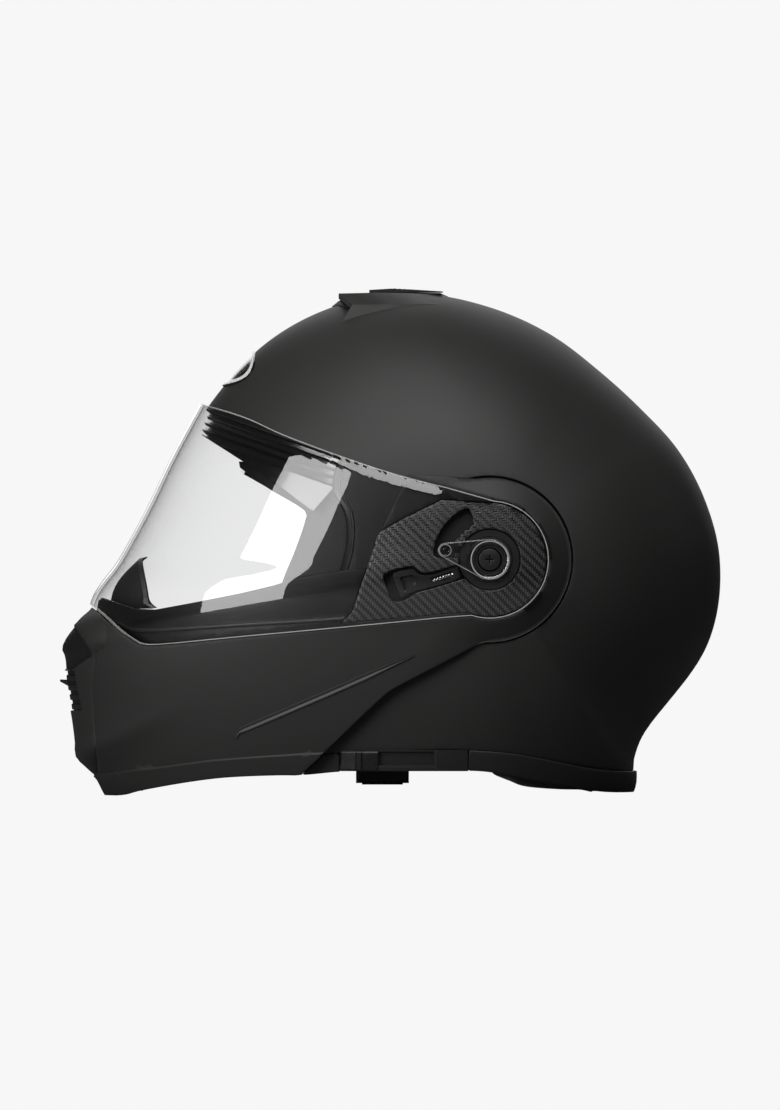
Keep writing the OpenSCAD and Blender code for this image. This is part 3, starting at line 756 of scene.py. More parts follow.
dark = plastic(
    "dark_inner_plastic", (0.003, 0.003, 0.003), (0.005, 0.005, 0.005), 0.5, 0.6, 600.0, 0.1, spec=0.3
)
red = plastic("red_plastic", (0.35, 0.014, 0.01), (0.42, 0.02, 0.015), 0.35, 0.4, 900.0, 0.06)


def metal(name, color, rough, scale=(1.0, 1.0, 60.0), strength=0.05):
    m, nt, b = material(name)
    setting(b, Metallic=1.0)
    place = object_space(nt)
    stretch = node(nt, "ShaderNodeMapping", Scale=scale)
    nt.links.new(place, stretch.inputs["Vector"])
    bumped(nt, b, noise(nt, stretch.outputs["Vector"], 40.0, 8.0), strength)
    mottle(nt, b, place, tuple(c * 0.9 for c in color), color, 30.0)
    mottle(nt, b, place, rough, rough + 0.08, 60.0, "Roughness")
    return m


steel = metal("brushed_steel", (0.5, 0.5, 0.52), 0.28)
white_ring = plastic("pale_ring_enamel", (0.62, 0.62, 0.61), (0.72, 0.72, 0.71), 0.25, 0.32, 900.0, 0.03)
silver = metal("bright_silver", (0.82, 0.82, 0.83), 0.16, (1.0, 1.0, 1.0), 0.02)
dark_steel = metal("black_oxide_steel", (0.02, 0.02, 0.021), 0.42)


CARBON_THREAD = 0.0012


def carbon_twill():
    """Woven twill that steps one thread per row. The weave is a pattern; its colour is a painted sheen,
    lighter on the over threads towards their crowns and dark on the under threads.
    """
    m, nt, b = material("carbon_twill")
    axes = split_axes(nt, object_space(nt))
    u = op(nt, "MULTIPLY", axes["Y"], 1 / CARBON_THREAD)
    w = op(nt, "MULTIPLY", axes["Z"], 1 / CARBON_THREAD)
    cu, cw = op(nt, "FLOOR", u), op(nt, "FLOOR", w)
    # Two threads over, two under, shifted by one thread each row.
    over = op(nt, "LESS_THAN", op(nt, "FLOORED_MODULO", op(nt, "ADD", cu, cw), 4), 1.5)
    round_u = op(nt, "SINE", op(nt, "MULTIPLY", op(nt, "SUBTRACT", u, cu), math.pi))
    round_w = op(nt, "SINE", op(nt, "MULTIPLY", op(nt, "SUBTRACT", w, cw), math.pi))
    under = op(nt, "MULTIPLY", op(nt, "SUBTRACT", 1.0, over), round_w)
    crown = op(nt, "ADD", op(nt, "MULTIPLY", over, round_u), under)
    # The base colour paints the sheen: light where an over thread's crown rises, dark elsewhere.
    light = node(nt, "ShaderNodeMapRange")
    nt.links.new(op(nt, "MULTIPLY", over, crown), light.inputs["Value"])
    ramp = node(nt, "ShaderNodeValToRGB")
    ramp.color_ramp.elements[0].color = (0.004, 0.004, 0.004, 1)
    ramp.color_ramp.elements[1].color = (0.062, 0.062, 0.06, 1)
    nt.links.new(light.outputs["Result"], ramp.inputs["Fac"])
    nt.links.new(ramp.outputs["Color"], b.inputs["Base Color"])
    bumped(nt, b, crown, 0.35, 0.00025)
    setting(b, Roughness=0.32, Specular_IOR_Level=0.6)
    return m


carbon = carbon_twill()


def clear(name, tint, ior):
    """Clear plastic: a tinted view of what is behind, under a reflection that grows towards grazing."""
    m, nt, b = material(name)
    setting(b, Base_Color=(0.95, 0.95, 0.95, 1), Metallic=1.0, Roughness=0.004)
    see = node(nt, "ShaderNodeBsdfTransparent", Color=(*tint, 1))
    edge = node(nt, "ShaderNodeFresnel", IOR=ior)
    front = op(nt, "SUBTRACT", 1.0, node(nt, "ShaderNodeNewGeometry").outputs["Backfacing"])
    mix = node(nt, "ShaderNodeMixShader")
    nt.links.new(op(nt, "MULTIPLY", edge.outputs["Fac"], front), mix.inputs["Fac"])
    nt.links.new(see.outputs["BSDF"], mix.inputs[1])
    nt.links.new(b.outputs["BSDF"], mix.inputs[2])
    nt.links.new(mix.outputs["Shader"], nt.nodes["Material Output"].inputs["Surface"])
    return m


clear_lens = clear("clear_polycarbonate", (0.997, 0.998, 0.998), 1.68)
smoke_lens = clear("smoked_polycarbonate", (0.32, 0.31, 0.315), 1.5)


def whitish_highlight(name, color, alpha):
    """A whitish see-through colour painted along the edges of clear plastic: a painted highlight that stands
    in for the light the edges catch.
    """
    m, nt, b = material(name)
    setting(b, Alpha=alpha)
    place = grain(nt, b, 400.0, 0.05)
    mottle(nt, b, place, tuple(c * 0.85 for c in color), color, 40.0)
    mottle(nt, b, place, 0.15, 0.25, 60.0, "Roughness")
    return m


painted_edge_lines = whitish_highlight("painted_edge_highlight", (0.75, 0.75, 0.73), 0.38)


def fabric(name, low, high, thread=0.0011, strength=0.5, sheen=0.3, rough=0.85):
    """A knitted or woven cloth from crossing waves in object space."""
    m, nt, b = material(name)
    place = object_space(nt)
    axes = split_axes(nt, place)
    height = noise(nt, place, 700.0, 6.0)
    for one, other in ("XY", "YZ", "ZX"):
        along = op(nt, "ADD", axes[one], axes[other])
        height = op(nt, "ADD", height, op(nt, "SINE", op(nt, "MULTIPLY", along, 2 * math.pi / thread)))
    bumped(nt, b, height, strength, 0.0003)
    mottle(nt, b, place, low, high, 60.0)
    setting(b, Roughness=rough, Sheen_Weight=sheen, Sheen_Roughness=0.4)
    return m


lining = fabric("lining_cloth", (0.012, 0.012, 0.013), (0.022, 0.022, 0.023))
mesh_cloth = fabric("mesh_lining_cloth", (0.03, 0.03, 0.032), (0.05, 0.05, 0.052), 0.0022, 0.8)
webbing = fabric("strap_webbing", (0.008, 0.008, 0.008), (0.014, 0.014, 0.014), 0.0016, 0.7, 0.2, 0.7)
foam = plastic("liner_foam", (0.018, 0.018, 0.019), (0.026, 0.026, 0.027), 0.85, 0.95, 260.0, 0.5, spec=0.3)

# ---------------------------------------------------------------- the shell
EGG_SHELL = Egg(123.5, SHELL)
EGG_CHIN = Egg(128.5, CHIN_SIDE, CHIN_FRONT)

shell_outline = (
    BROW + curve(EYEPORT) + [(-36, 60), (-50, 30)] + curve(shifted(BAND_TOP, 0, 0.2)) + [
        (190, 13), (190, 290), (-118, 290)
    ]
)
dome = Skin(EGG_SHELL, 300, 84, both_of(within(shell_outline), lambda p: EAR_R + 0.2 - hub_distance(p)))
visor_f = within(VISOR_SHAPE)
UNDER_VISOR = dome.cut(lambda p: visor_f(p) + 0.6)
outer_shell = dome.solid(
    "outer_shell_skin", 3.5, rim=0.3, mats=[matte, inner_plastic],
    pick=lambda t, c: matte if t & UNDER_VISOR else inner_plastic,
)
put(outer_shell, "shell", "outer_shell")

trim_outline = curve(BAND_LOW) + [(150, 13)] + curve(BAND_TOP)[::-1]
chin_big = (
    [(-190, 0), (-190, 128), (-150, 115), (-60, 130), (0, 160), (9.3, 169.9), (26, 169.4), (44.3, 168.4)]
    + arc(EAR_R, 92, -92, 60) + curve(SEAM, 4) + CHIN_LOW
)
chin_f = within(chin_big)
front_cut = lambda p: chin_f(p) - 0.35
slider_cut = within([(-26.6, 0), (41.3, 0), (41.3, 26), (-26.6, 26)])


def trim_height(p):
    return 0.5 + 1.3 * smooth01((p[:, 1] - 60) / 60)


def make_trim(side, f):
    s = Skin(EGG_SHELL, 480, 120, f)
    return s.solid("lower_edge_trim_" + side, 6.0, relief=trim_height, rim=0.6, mats=[matte], sides=side)


trim_left = make_trim("left", both_of(within(trim_outline), outside(front_cut), outside(slider_cut)))
trim_right = make_trim("right", both_of(within(trim_outline), outside(front_cut)))
for trim in (trim_left, trim_right):
    put(trim, "shell", "lower_edge_trim")

# ---------------------------------------------------------------- the chin bar
MOUTH_Z = 55.5
MOUTH_HALF = (31, 10.5)  # across, up
mouth = lambda p: np.maximum(np.abs(p[:, 0]) - MOUTH_HALF[0], np.abs(p[:, 2] - MOUTH_Z) - MOUTH_HALF[1])
chin = Skin(EGG_CHIN, 480, 120, both_of(chin_f, outside(visor_f, 0.5), outside(mouth)))
band_line = [
    (-190, 5.5), (-154.6, 10.7), (-139, 12.8), (-118, 15.4), (-95, 18.6), (-76, 20.2), (-44, 22.4),
    (-30, 22.6)
]
band_f = below(band_line)
crease_f = lambda p: p[:, 1] - np.interp(p[:, 2], [0, 9.7, 56, 75, 80], [-154.4, -155, -157.7, -155.7, -150])
facet_f = within([(-169, 92), (-155.9, 75.2), (-167.5, 66.4), (-185, 66.4), (-185, 92)])
chin.cut(band_f)
chin.cut(lambda p: band_f(p) - 0.7)
chin.cut(crease_f)
chin.cut(lambda p: crease_f(p) - 0.45)
chin.cut(lambda p: crease_f(p) + 0.45)
FACET = chin.cut(facet_f)
chin.cut(lambda p: facet_f(p) + 0.8)
EAR_IN = EYE_R + 1.6


def chin_relief(p):
    r = hub_distance(p)
    th = turn_of(p)
    ear = smooth01((th + 128) / 45) * smooth01((140 - th) / 40)
    lift = -0.31 * np.clip(r - EAR_IN, 0, 12) * ear
    lift = lift + 0.9 * smooth01((0.7 - band_f(p)) / 0.7)
    ahead = np.clip(-crease_f(p), 0, 17)
    lift = lift + 0.26 * ahead * (1 - ahead / 17.5)
    lift = lift - 0.9 * smooth01(-facet_f(p) / 0.8)
    lift = lift - 0.4 * np.clip(1 - np.abs(crease_f(p)) / 0.45, 0, 1) * (band_f(p) > 1) * (p[:, 2] < 75)
    return lift


chin_skin = chin.solid(
    "chin_bar_skin", 3.0, relief=chin_relief, rim=0.4, mats=[matte, facet],
    pick=lambda t, c: matte if t & FACET else facet,
)
put(chin_skin, "chin_bar", "chin_bar_shell")

# ---------------------------------------------------------------- the clear visor
VISOR_WALL = 2.2
BAND = 5.2  # width of the set-down band along the visor's top edge
EGG_VISOR = Egg(131.8, VISOR)
visor_skin_grid = Skin(EGG_VISOR, 360, 100, both_of(visor_f, lambda p: 9.6 - hub_distance(p)))
top_band = within(curve(VISOR_TOP, 5) + [(-130, 230), (30, 230)])
visor_skin_grid.cut(outside(top_band, BAND))


def visor_relief(p):
    near = np.clip(BAND - top_band(p), 0, 6)
    fade = smooth01((p[:, 1] + 75) / 40) * smooth01((40 - p[:, 1]) / 20)
    return -0.42 * near * fade


# The visor's rims take the whitish painted edge highlight
visor = visor_skin_grid.solid(
    "visor_lens_skin", VISOR_WALL, relief=visor_relief, rim=0.5, mats=[painted_edge_lines, clear_lens],
    pick=lambda t, c: clear_lens, inner=1, under=lambda p: VISOR_WALL - visor_relief(p),
)
put(visor, "visor", "visor_lens")

# ---------------------------------------------------------------- side plates
# The window's inner edge with its detent teeth, then its front corner, as [radius, angle]
DETENT_EDGE = [
    (18.6, 177), (18.6, 153), (20.2, 151), (20.2, 146), (19.2, 143), (20.2, 139), (19.2, 135), (20.2, 130),
    (19.0, 125), (20.2, 117), (20.2, 113.5), (26, 111.5), (28.6, 111.5), (29.6, 113),
]
WINDOW = [
    polar(r, a) for r, a in DETENT_EDGE
] + arc(30, 115.5, 172, 20) + [polar(29.4, 176), polar(27.8, 178)]
SLOT = curve(
    [
        (-3.1, 117), (-0.6, 118.8), (6, 120.6), (11.5, 121.6), (15.8, 118.6), (22, 118.4), (37, 123),
        (43, 125), (44, 120), (43, 116.4), (22, 109.6), (14, 107.4), (8, 103.4), (2.4, 102.6), (0.4, 104.6),
        (-3.4, 114.4), (-3.1, 117)
    ], 4
)
plate_f = both_of(
    within(PLATE), outside(within(WINDOW)), outside(within(SLOT)), lambda p: 16.4 - hub_distance(p)
)
EGG_PLATE = Egg(127.2, CHIN_SIDE)
floor_f = both_of(within(PLATE), lambda p: 9.5 - hub_distance(p))
for side in ("left", "right"):
    plate = Skin(EGG_PLATE, 420, 150, plate_f).solid(
        "side_plate_skin_" + side, 1.7, rim=0.35, mats=[carbon], sides=side
    )
    floor = Skin(Egg(121.9, CHIN_SIDE), 180, 60, floor_f).solid(
        "side_plate_floor_" + side, 1.4, rim=0.2, mats=[dark], sides=side,
    )
    for o in (plate, floor):
        put(o, "chin_bar", "side_plate_" + side)

# ---------------------------------------------------------------- the chin bar behind the visor
LIP_TOP = [
    (-190, 104.4), (-158, 106.8), (-136, 99), (-126, 98.4), (-104, 102.4), (-80.7, 107), (-62, 111.4),
    (-48, 116), (-36, 118)
]
CHIN_REAR = [(-14, 121), (-6, 139.1), (9.3, 169.9), (26, 169.4), (44.3, 168.4)]
inner_f = within(
    LIP_TOP + CHIN_REAR + arc(EAR_R, 90, -90, 30) + [(30, 84), (-30, 84), (-86, 76), (-130, 72), (-190, 72)]
)
EGG_RECESS = Egg(128.3, VISOR, inset=4.2)
recess = Skin(EGG_RECESS, 360, 96, both_of(inner_f, lambda p: visor_f(p) - 1.6, outside(within(PLATE), 0.3)))
lip_step = lambda p: visor_f(p) + 4.4
recess.cut(lip_step)
lip = recess.solid(
    "chin_bar_inner_lip", 2.4, relief=lambda p: -0.9 * smooth01(-lip_step(p) / 0.8), rim=0.5,
    mats=[inner_plastic]
)
put(lip, "chin_bar", "chin_bar_shell")

# Raised blade on the cheek of the chin bar, in a lighter black that paints a highlight along it
BLADE = curve([(-81.6, 30.8), (-80.8, 33), (-78.4, 35), (-70, 38.6)], 6) + [(-32, 54.9), (12.6, 74.6)]
BLADE_SECTION = [(-1.9, -0.6), (-1.5, 0.85), (-0.9, 0.8), (0, 0.35), (0.9, 0.8), (1.5, 0.85), (1.9, -0.6)]
blade_width = lambda t: min(1, 0.35 + 8 * t) * min(1, 0.15 + 3.2 * (1 - t))
blade = ribbon(EGG_CHIN, BLADE, BLADE_SECTION, blade_width)
put(piece("chin_bar_blade", *two_sides(*blade), mats=[painted_highlight], sharp=25), "chin_bar")

# Rubber lines along the lip and the face opening
bead = [(-1.1, -0.6), (-0.9, 0.5), (-0.3, 0.9), (0.4, 0.8), (0.9, 0.4), (1.1, -0.6)]
lip_line = curve(
    [
        (-157, 97), (-146, 92.5), (-137, 88.2), (-127, 87.6), (-110, 88.4), (-84, 90.2), (-32, 93.2),
        (-24, 94.2)
    ], 6
)
seal = ribbon(EGG_RECESS, lip_line, bead)
put(piece("visor_seal_bead", *two_sides(*seal), mats=[rubber], sharp=40), "chin_bar", "visor_seal")

gasket_section = [
    (-2.3, -1.4), (-2.1, 0.2), (-1.5, 0.9), (-0.9, 0.5), (0.4, 0.2), (1.0, 0.9), (1.7, 0.8), (2.1, 0),
    (2.2, -1.4)
]
gasket_line = shifted(curve([(-20, 176)] + EYEPORT, 8), -1.9, 0)
gasket = ribbon(EGG_SHELL, gasket_line, gasket_section)
put(piece("eyeport_gasket_edge", *two_sides(*gasket), mats=[rubber], sharp=40), "shell", "eyeport_gasket")

EGG_FLANGE = Egg(112, SHELL, inset=10)
# The flange inside the face opening
flange_f = within(
    curve([(-84, 177), (-66, 163.6), (-46, 151.5), (-45, 146), (-50, 131), (-56.4, 115.3), (-60, 104)], 5)
    + [(-60, 96), (-24, 96), (-14, 118), (-12, 150), (-16, 178)]
)
flange = Skin(EGG_FLANGE, 240, 64, flange_f).solid("eyeport_flange", 2.4, rim=0.9, mats=[inner_plastic])
put(flange, "shell", "eyeport_gasket")

# The brow, with long ridges under its edge
brow_f = within(
    [
        (-118, 210.6), (-95.8, 203.2), (-24, 177.4), (-27, 168), (-42, 151), (-62, 165.5), (-76, 175.4),
        (-104, 193.4), (-118, 200)
    ]
)
brow_line_f = below(BROW)
brow = Skin(Egg(123.5 - 2.2, SHELL, inset=2.2), 480, 120, brow_f)
for d in (3.0, 6.5, 10.5, 15.5):
    brow.cut(lambda p: brow_line_f(p) + d)
    brow.cut(lambda p: brow_line_f(p) + d + 1.1)


def brow_height(p):
    d = -brow_line_f(p)
    return np.interp(
        d, [0, 3, 4.1, 6.5, 7.6, 10.5, 11.6, 15.5, 16.6, 30],
        [0, -0.2, -1.5, -0.7, -2.4, -1.4, -3.4, -2.2, -4.4, -5]
    )


put(
    brow.solid("brow_frame_ridges", 4.0, relief=brow_height, rim=0.6, mats=[gloss], sharp=20), "shell",
    "brow_frame"
)

# The fin that turns the breath away from the visor
u = np.linspace(-1, 1, 49)
v = np.linspace(0, 1, 17)
guard = []
for a in u:
    foot = np.array([46 * a, -148.5 + 22.5 * a * a, 99.0])
    tip = np.array([44 * a, -130.5 - 3 * math.sin(math.pi * min(1, abs(a) * 1.05)), 126 - 24 * abs(a) ** 3])
    for b_ in v:
        q = foot + (tip - foot) * b_
        q[1] -= 5.0 * math.sin(math.pi * b_) * (1 - a * a)
        guard.append(q)
guard = np.array(guard)
back = guard + [0, 2.2, 0.4]
put(
    piece("breath_guard_fin", np.vstack([guard, back]), slab_faces(len(u), len(v)), [rubber], sharp=35),
    "chin_bar", "breath_guard"
)

# ---------------------------------------------------------------- the vent in the front of the chin bar
def chin_front_y(x, z):
    ta = math.acos(abs(x) / (EGG_CHIN.w * float(narrow(z))))
    q = EGG_CHIN.at(np.radians(np.linspace(185, 235, 200)), np.full(200, ta))
    o = np.argsort(q[:, 2])
    return float(np.interp(z, q[o, 2], q[o, 1]))


LOUVRE = [(0.2, 0.0), (0.0, 0.5), (0.1, 2.6), (0.5, 3.1), (2.6, 3.9), (2.6, 1.3)]
louvre_v, louvre_f = [], []
for z in (45.4 + 5.1 * k for k in range(4)):
    louvre_f += moved(sweep_faces(33, len(LOUVRE)), len(louvre_v))
    for x in np.linspace(-31.4, 31.4, 33):
        louvre_v += [[x, chin_front_y(x, z + dz) + dy, z + dz] for dy, dz in LOUVRE]
well_v, well_f = [], []
for sgn in (-1, 1):
    well_f += moved(slab_faces(24, 24), len(well_v))
    for depth in (0.9, 3.2):
        for x in np.linspace(4.2, 31.6, 24):
            well_v += [[sgn * x, chin_front_y(x, z) + depth, z] for z in np.linspace(44.4, 66.6, 24)]
put(piece("chin_vent_well", well_v, well_f, [dark], sharp=40), "chin_bar", "chin_vent_grille")
put(piece("chin_louvres", louvre_v, louvre_f, [facet], sharp=30), "chin_bar", "chin_vent_grille")

# The shutter behind the louvres, and the wedge of a tab that a finger pushes up
TAB = [
    (-175.1, 60.9), (-174.9, 60.2), (-170.5, 57.8), (-163.4, 57.8), (-163.4, 59.6), (-170.2, 61.2),
    (-174.9, 61.4)
]
SLAT = [(-163.9, 45), (-162.7, 45), (-162.7, 59), (-163.9, 59)]
shutter_v, shutter_f = [], []
for outline, half in ((TAB, 4.6), (SLAT, 26)):
    shutter_f += moved(sweep_faces(2, len(outline)), len(shutter_v))
    shutter_v += [[sgn * half, y, z] for sgn in (-1, 1) for y, z in outline]
put(piece("chin_vent_tab", shutter_v, shutter_f, [facet], sharp=25), "chin_vent_shutter", "chin_vent_shutter")


# A ledge between the chin bar's skin and its inner lip
def at_height(egg, ta, z):
    """The [x, y] at height z of an egg's front."""
    q = egg.at(np.radians(np.linspace(185, 250, 240)), np.full(240, ta))
    o = np.argsort(q[:, 2])
    return np.array([np.interp(z, q[o, 2], q[o, 0]), np.interp(z, q[o, 2], q[o, 1])])


ledge_v = []
for ta in np.radians(np.linspace(24, 156, 90)):
    z = float(np.interp(at_height(EGG_RECESS, ta, 76)[1], [-130, -86, -30], [74, 78, 85.5]))
    front, rear = at_height(EGG_CHIN, ta, z), at_height(EGG_RECESS, ta, z)
    way = (rear - front) / max(np.linalg.norm(rear - front), 0.1)
    front, rear = front + 1.4 * way, rear + 1.2 * way
    ledge_v += [[*front, z], [*rear, z], [*rear, z - 1.4], [*front, z - 1.4]]
put(
    piece("chin_bar_ledge", ledge_v, sweep_faces(90, 4), [inner_plastic], sharp=35), "chin_bar",
    "chin_bar_shell"
)

# ---------------------------------------------------------------- sun visor slider
KNOB_Y = (-25.9, -6.1)
KNOB_Z = (13.6, 23.7)
KNOB_MID = -16.4
ribs = lambda y, z: 0.42 * np.abs(((z + np.sign(y - KNOB_MID) * y) / 1.15) % 1 * 2 - 1)
knob_y = np.linspace(*KNOB_Y, 150)
knob_z = np.linspace(*KNOB_Z, 64)


def knob_height(y, z):
    """Ribs that meet in arrows, with a raised bar between two grooves across the middle."""
    edge = np.minimum(np.minimum(y - KNOB_Y[0], KNOB_Y[1] - y), np.minimum(z - KNOB_Z[0], KNOB_Z[1] - z))
    h = 1.25 + ribs(y, z) * (edge > 0.7)
    h = np.where(np.abs(y - KNOB_MID) < 1.9, 1.1, h)
    h = np.where(np.abs(y - KNOB_MID) < 1.1, 2.2, h)
    return h - 0.7 * np.clip(0.6 - edge, 0, 0.6)


grip = patch(EGG_SHELL, knob_y, knob_z, knob_height, 0.2)
put(piece("sun_slider_grip", *grip, mats=[satin_grey], sharp=30), "sun_slider", "sun_slider_knob")


def track_height(y, z):
    inside = np.minimum(np.minimum(y + 26.4, 23.2 - y), np.minimum(z - 16.4, 23.6 - z))
    h = 0.5 + 0.25 * np.clip((16.4 - z) / 1.2, 0, 1)
    h = np.where(inside > 0, 0.5 - 1.6 * np.clip(inside / 0.35, 0, 1), h)
    block = np.minimum(y - 23.9, 41.2 - y)
    h = np.where(block > 0, 1.0 - 0.5 * np.clip(0.5 - block, 0, 0.5), h)
    return h


track = patch(EGG_SHELL, np.linspace(-26.5, 41.2, 272), np.linspace(13.4, 24.75, 58), track_height, -5.5)
put(piece("sun_slider_rail", *track, mats=[satin_grey], sharp=30), "shell", "sun_slider_track")

# ---------------------------------------------------------------- top vent
def dome_z(x, y):
    th = np.radians(np.linspace(60, 160, 400))
    ta = math.acos(min(1, abs(x) / EGG_SHELL.w))
    r = EGG_SHELL.radius(th, np.full(400, ta)) * math.sin(ta) ** (2 / FLAT)
    yy = PIVOT[0] + r * np.cos(th)
    zz = PIVOT[1] + r * np.sin(th)
    o = np.argsort(yy)
    return float(np.interp(y, yy[o], zz[o]))


def scoop_rows():
    """Half of the scoop's top: stations along Y, and across from the centre to the edge on the dome."""
    rows = []
    for k in range(25):
        t = k / 24
        top = [0, 0.3, 0.6, 0.92, 1]
        c_z = np.interp(t, top, [266.2, 266.6, 266.6, 266.4, 264.2])
        a_z = np.interp(t, top, [265.9, 266.2, 266.0, 265.6, 263.9])
        b_z = np.interp(t, [0, 0.3, 0.63, 1], [259.8, 260.1, 258.7, 255.2])
        c = np.array([0, -27.3 + 58.8 * t, c_z])
        a = np.array([30 - 30 * t**2.2, -27 + 58.4 * t, a_z])
        b = np.array([38 + 3.5 * math.sin(math.pi * min(t * 1.4, 1)) - 1.5 * t, -20 + 63 * t, b_z])
        d = np.array([48.4 - 8.6 * t**1.3, -27 + 70.6 * t, 0])
        d[2] = dome_z(d[0], d[1]) - 0.9
        b[2] = max(b[2], dome_z(b[0], b[1]) + 1.6 * (1 - t) - 0.3)
        rows.append([c, a, b, d])
    return rows


rows = scoop_rows()
cols = []
for r in rows:
    line = []
    for q0, q1, n in ((r[0], r[1], 6), (r[1], r[2], 4), (r[2], r[3], 4)):
        line += [q0 + (q1 - q0) * k / n for k in range(n)]
    line.append(r[3])
    cols.append(line)
grid = np.array(cols)
ni, nj = grid.shape[:2]
inner = grid.copy()
inner[..., 2] -= 2.6
inner[:, -5:, 0] -= 2.2
sv = np.vstack([grid.reshape(-1, 3), inner.reshape(-1, 3)])
sf = []
for i in range(ni - 1):
    for j in range(nj - 1):
        a = i * nj + j
        sf += [
            [a, a + 1, a + nj + 1, a + nj],
            [ni * nj + a, ni * nj + a + nj, ni * nj + a + nj + 1, ni * nj + a + 1]
        ]
for j in range(nj - 1):
    sf.append([j + 1, j, ni * nj + j, ni * nj + j + 1])
    a = (ni - 1) * nj + j
    sf.append([a, a + 1, ni * nj + a + 1, ni * nj + a])
for i in range(ni - 1):
    a = i * nj + nj - 1
    sf.append([a, a + nj, ni * nj + a + nj, ni * nj + a][::-1])
sv, sf = two_sides(sv, sf)
# The scoop's flanks take the lighter black as a painted highlight
side_row = lambda f: all((a % (ni * nj)) % nj >= 10 for a in f)
scoop = weld(
    piece("top_vent_cowl", sv, sf, [matte, painted_highlight], [1 if side_row(f) else 0 for f in sf], sharp=11)
)
put(scoop, "shell", "top_vent_scoop")

# A dark wedge with a rib in the mouth of the scoop
wv = []
for x in np.linspace(-36, 36, 25):
    k = abs(x) / 36
    z_top = 263.4 - 4.6 * k**1.6
    z_low = dome_z(x, -22) - 1.5
    y0 = -30.8 + 9.5 * k
    z_nose = dome_z(x, y0) + 0.4
    wv += [
        [x, -24.5 + 4 * k, z_top], [x, -27.4 + 7 * k, (z_top + z_nose) / 2 + 0.8], [x, y0, z_nose],
        [x, y0 + 1, z_nose - 3], [x, -4, z_low - 4], [x, -6, z_top]
    ]
put(piece("top_vent_throat", wv, sweep_faces(25, 6), [dark], sharp=30), "shell", "top_vent_scoop")

# ---------------------------------------------------------------- blank badge on the forehead
BADGE_AT = 142.6  # its middle, in degrees about the flip axis
BADGE_HALF = (38.5, 12.6)  # across, along the dome
BADGE_R = 167


def badge_f(p):
    """Roughly the distance outside the badge's ellipse."""
    along = np.radians(turn_of(p) - BADGE_AT) * BADGE_R
    return (np.sqrt((p[:, 0] / BADGE_HALF[0]) ** 2 + (along / BADGE_HALF[1]) ** 2) - 1) * 13


badge = Skin(EGG_SHELL, 900, 220, lambda p: np.where(np.abs(p[:, 1] + 80) < 40, badge_f(p), 9))
RIM = badge.cut(lambda p: badge_f(p) + 1.5)
rim_height = lambda p: 1.0 - 0.6 * smooth01((-1.5 - badge_f(p)) / 0.6)
put(badge.solid("brow_badge_blank", 1.0, relief=rim_height, rim=0.4, mats=[gloss, white_ring],
                pick=lambda t, c: white_ring if t & RIM else gloss, sharp=30), "shell", "brow_badge")

# ---------------------------------------------------------------- hinge details
PEG = (PIVOT[0] - 23.4, PIVOT[1] + 4.9)
cross = []
for k in range(4):
    t = math.pi / 2 * k
    for ly, lz in ((0.55, 0.55), (0.55, 2.6), (-0.55, 2.6)):
        cross.append(
            (PIVOT[0] + ly * math.cos(t) - lz * math.sin(t), PIVOT[1] + ly * math.sin(t) + lz * math.cos(t))
        )
# Sections of [radius, x] for turned pieces
HUB_SECTION = [
    (16.1, 121.9), (16.1, 125.2), (15.5, 125.8), (12.2, 125.8), (11.9, 125.4), (11.4, 125.4), (9.1, 125.4),
    (9.0, 128.6), (8.6, 129.0), (7.9, 129.0), (7.6, 128.4), (6.4, 128.4), (6.3, 121.9),
]
BOSS_SECTION = [
    (9.15, 126.0), (10.9, 126.0), (10.9, 129.6), (10.6, 130.0), (9.9, 130.0), (9.6, 129.5), (9.15, 129.3),
]
PEG_SECTION = [
    (0.01, 123.6), (3.3, 123.6), (3.3, 128.4), (2.9, 128.8), (2.2, 128.8), (1.9, 127.9), (1.2, 127.9),
    (0.9, 128.7), (0.01, 128.9),
]
arm = tangent_pair(PIVOT, 10.6, PEG, 3.7)
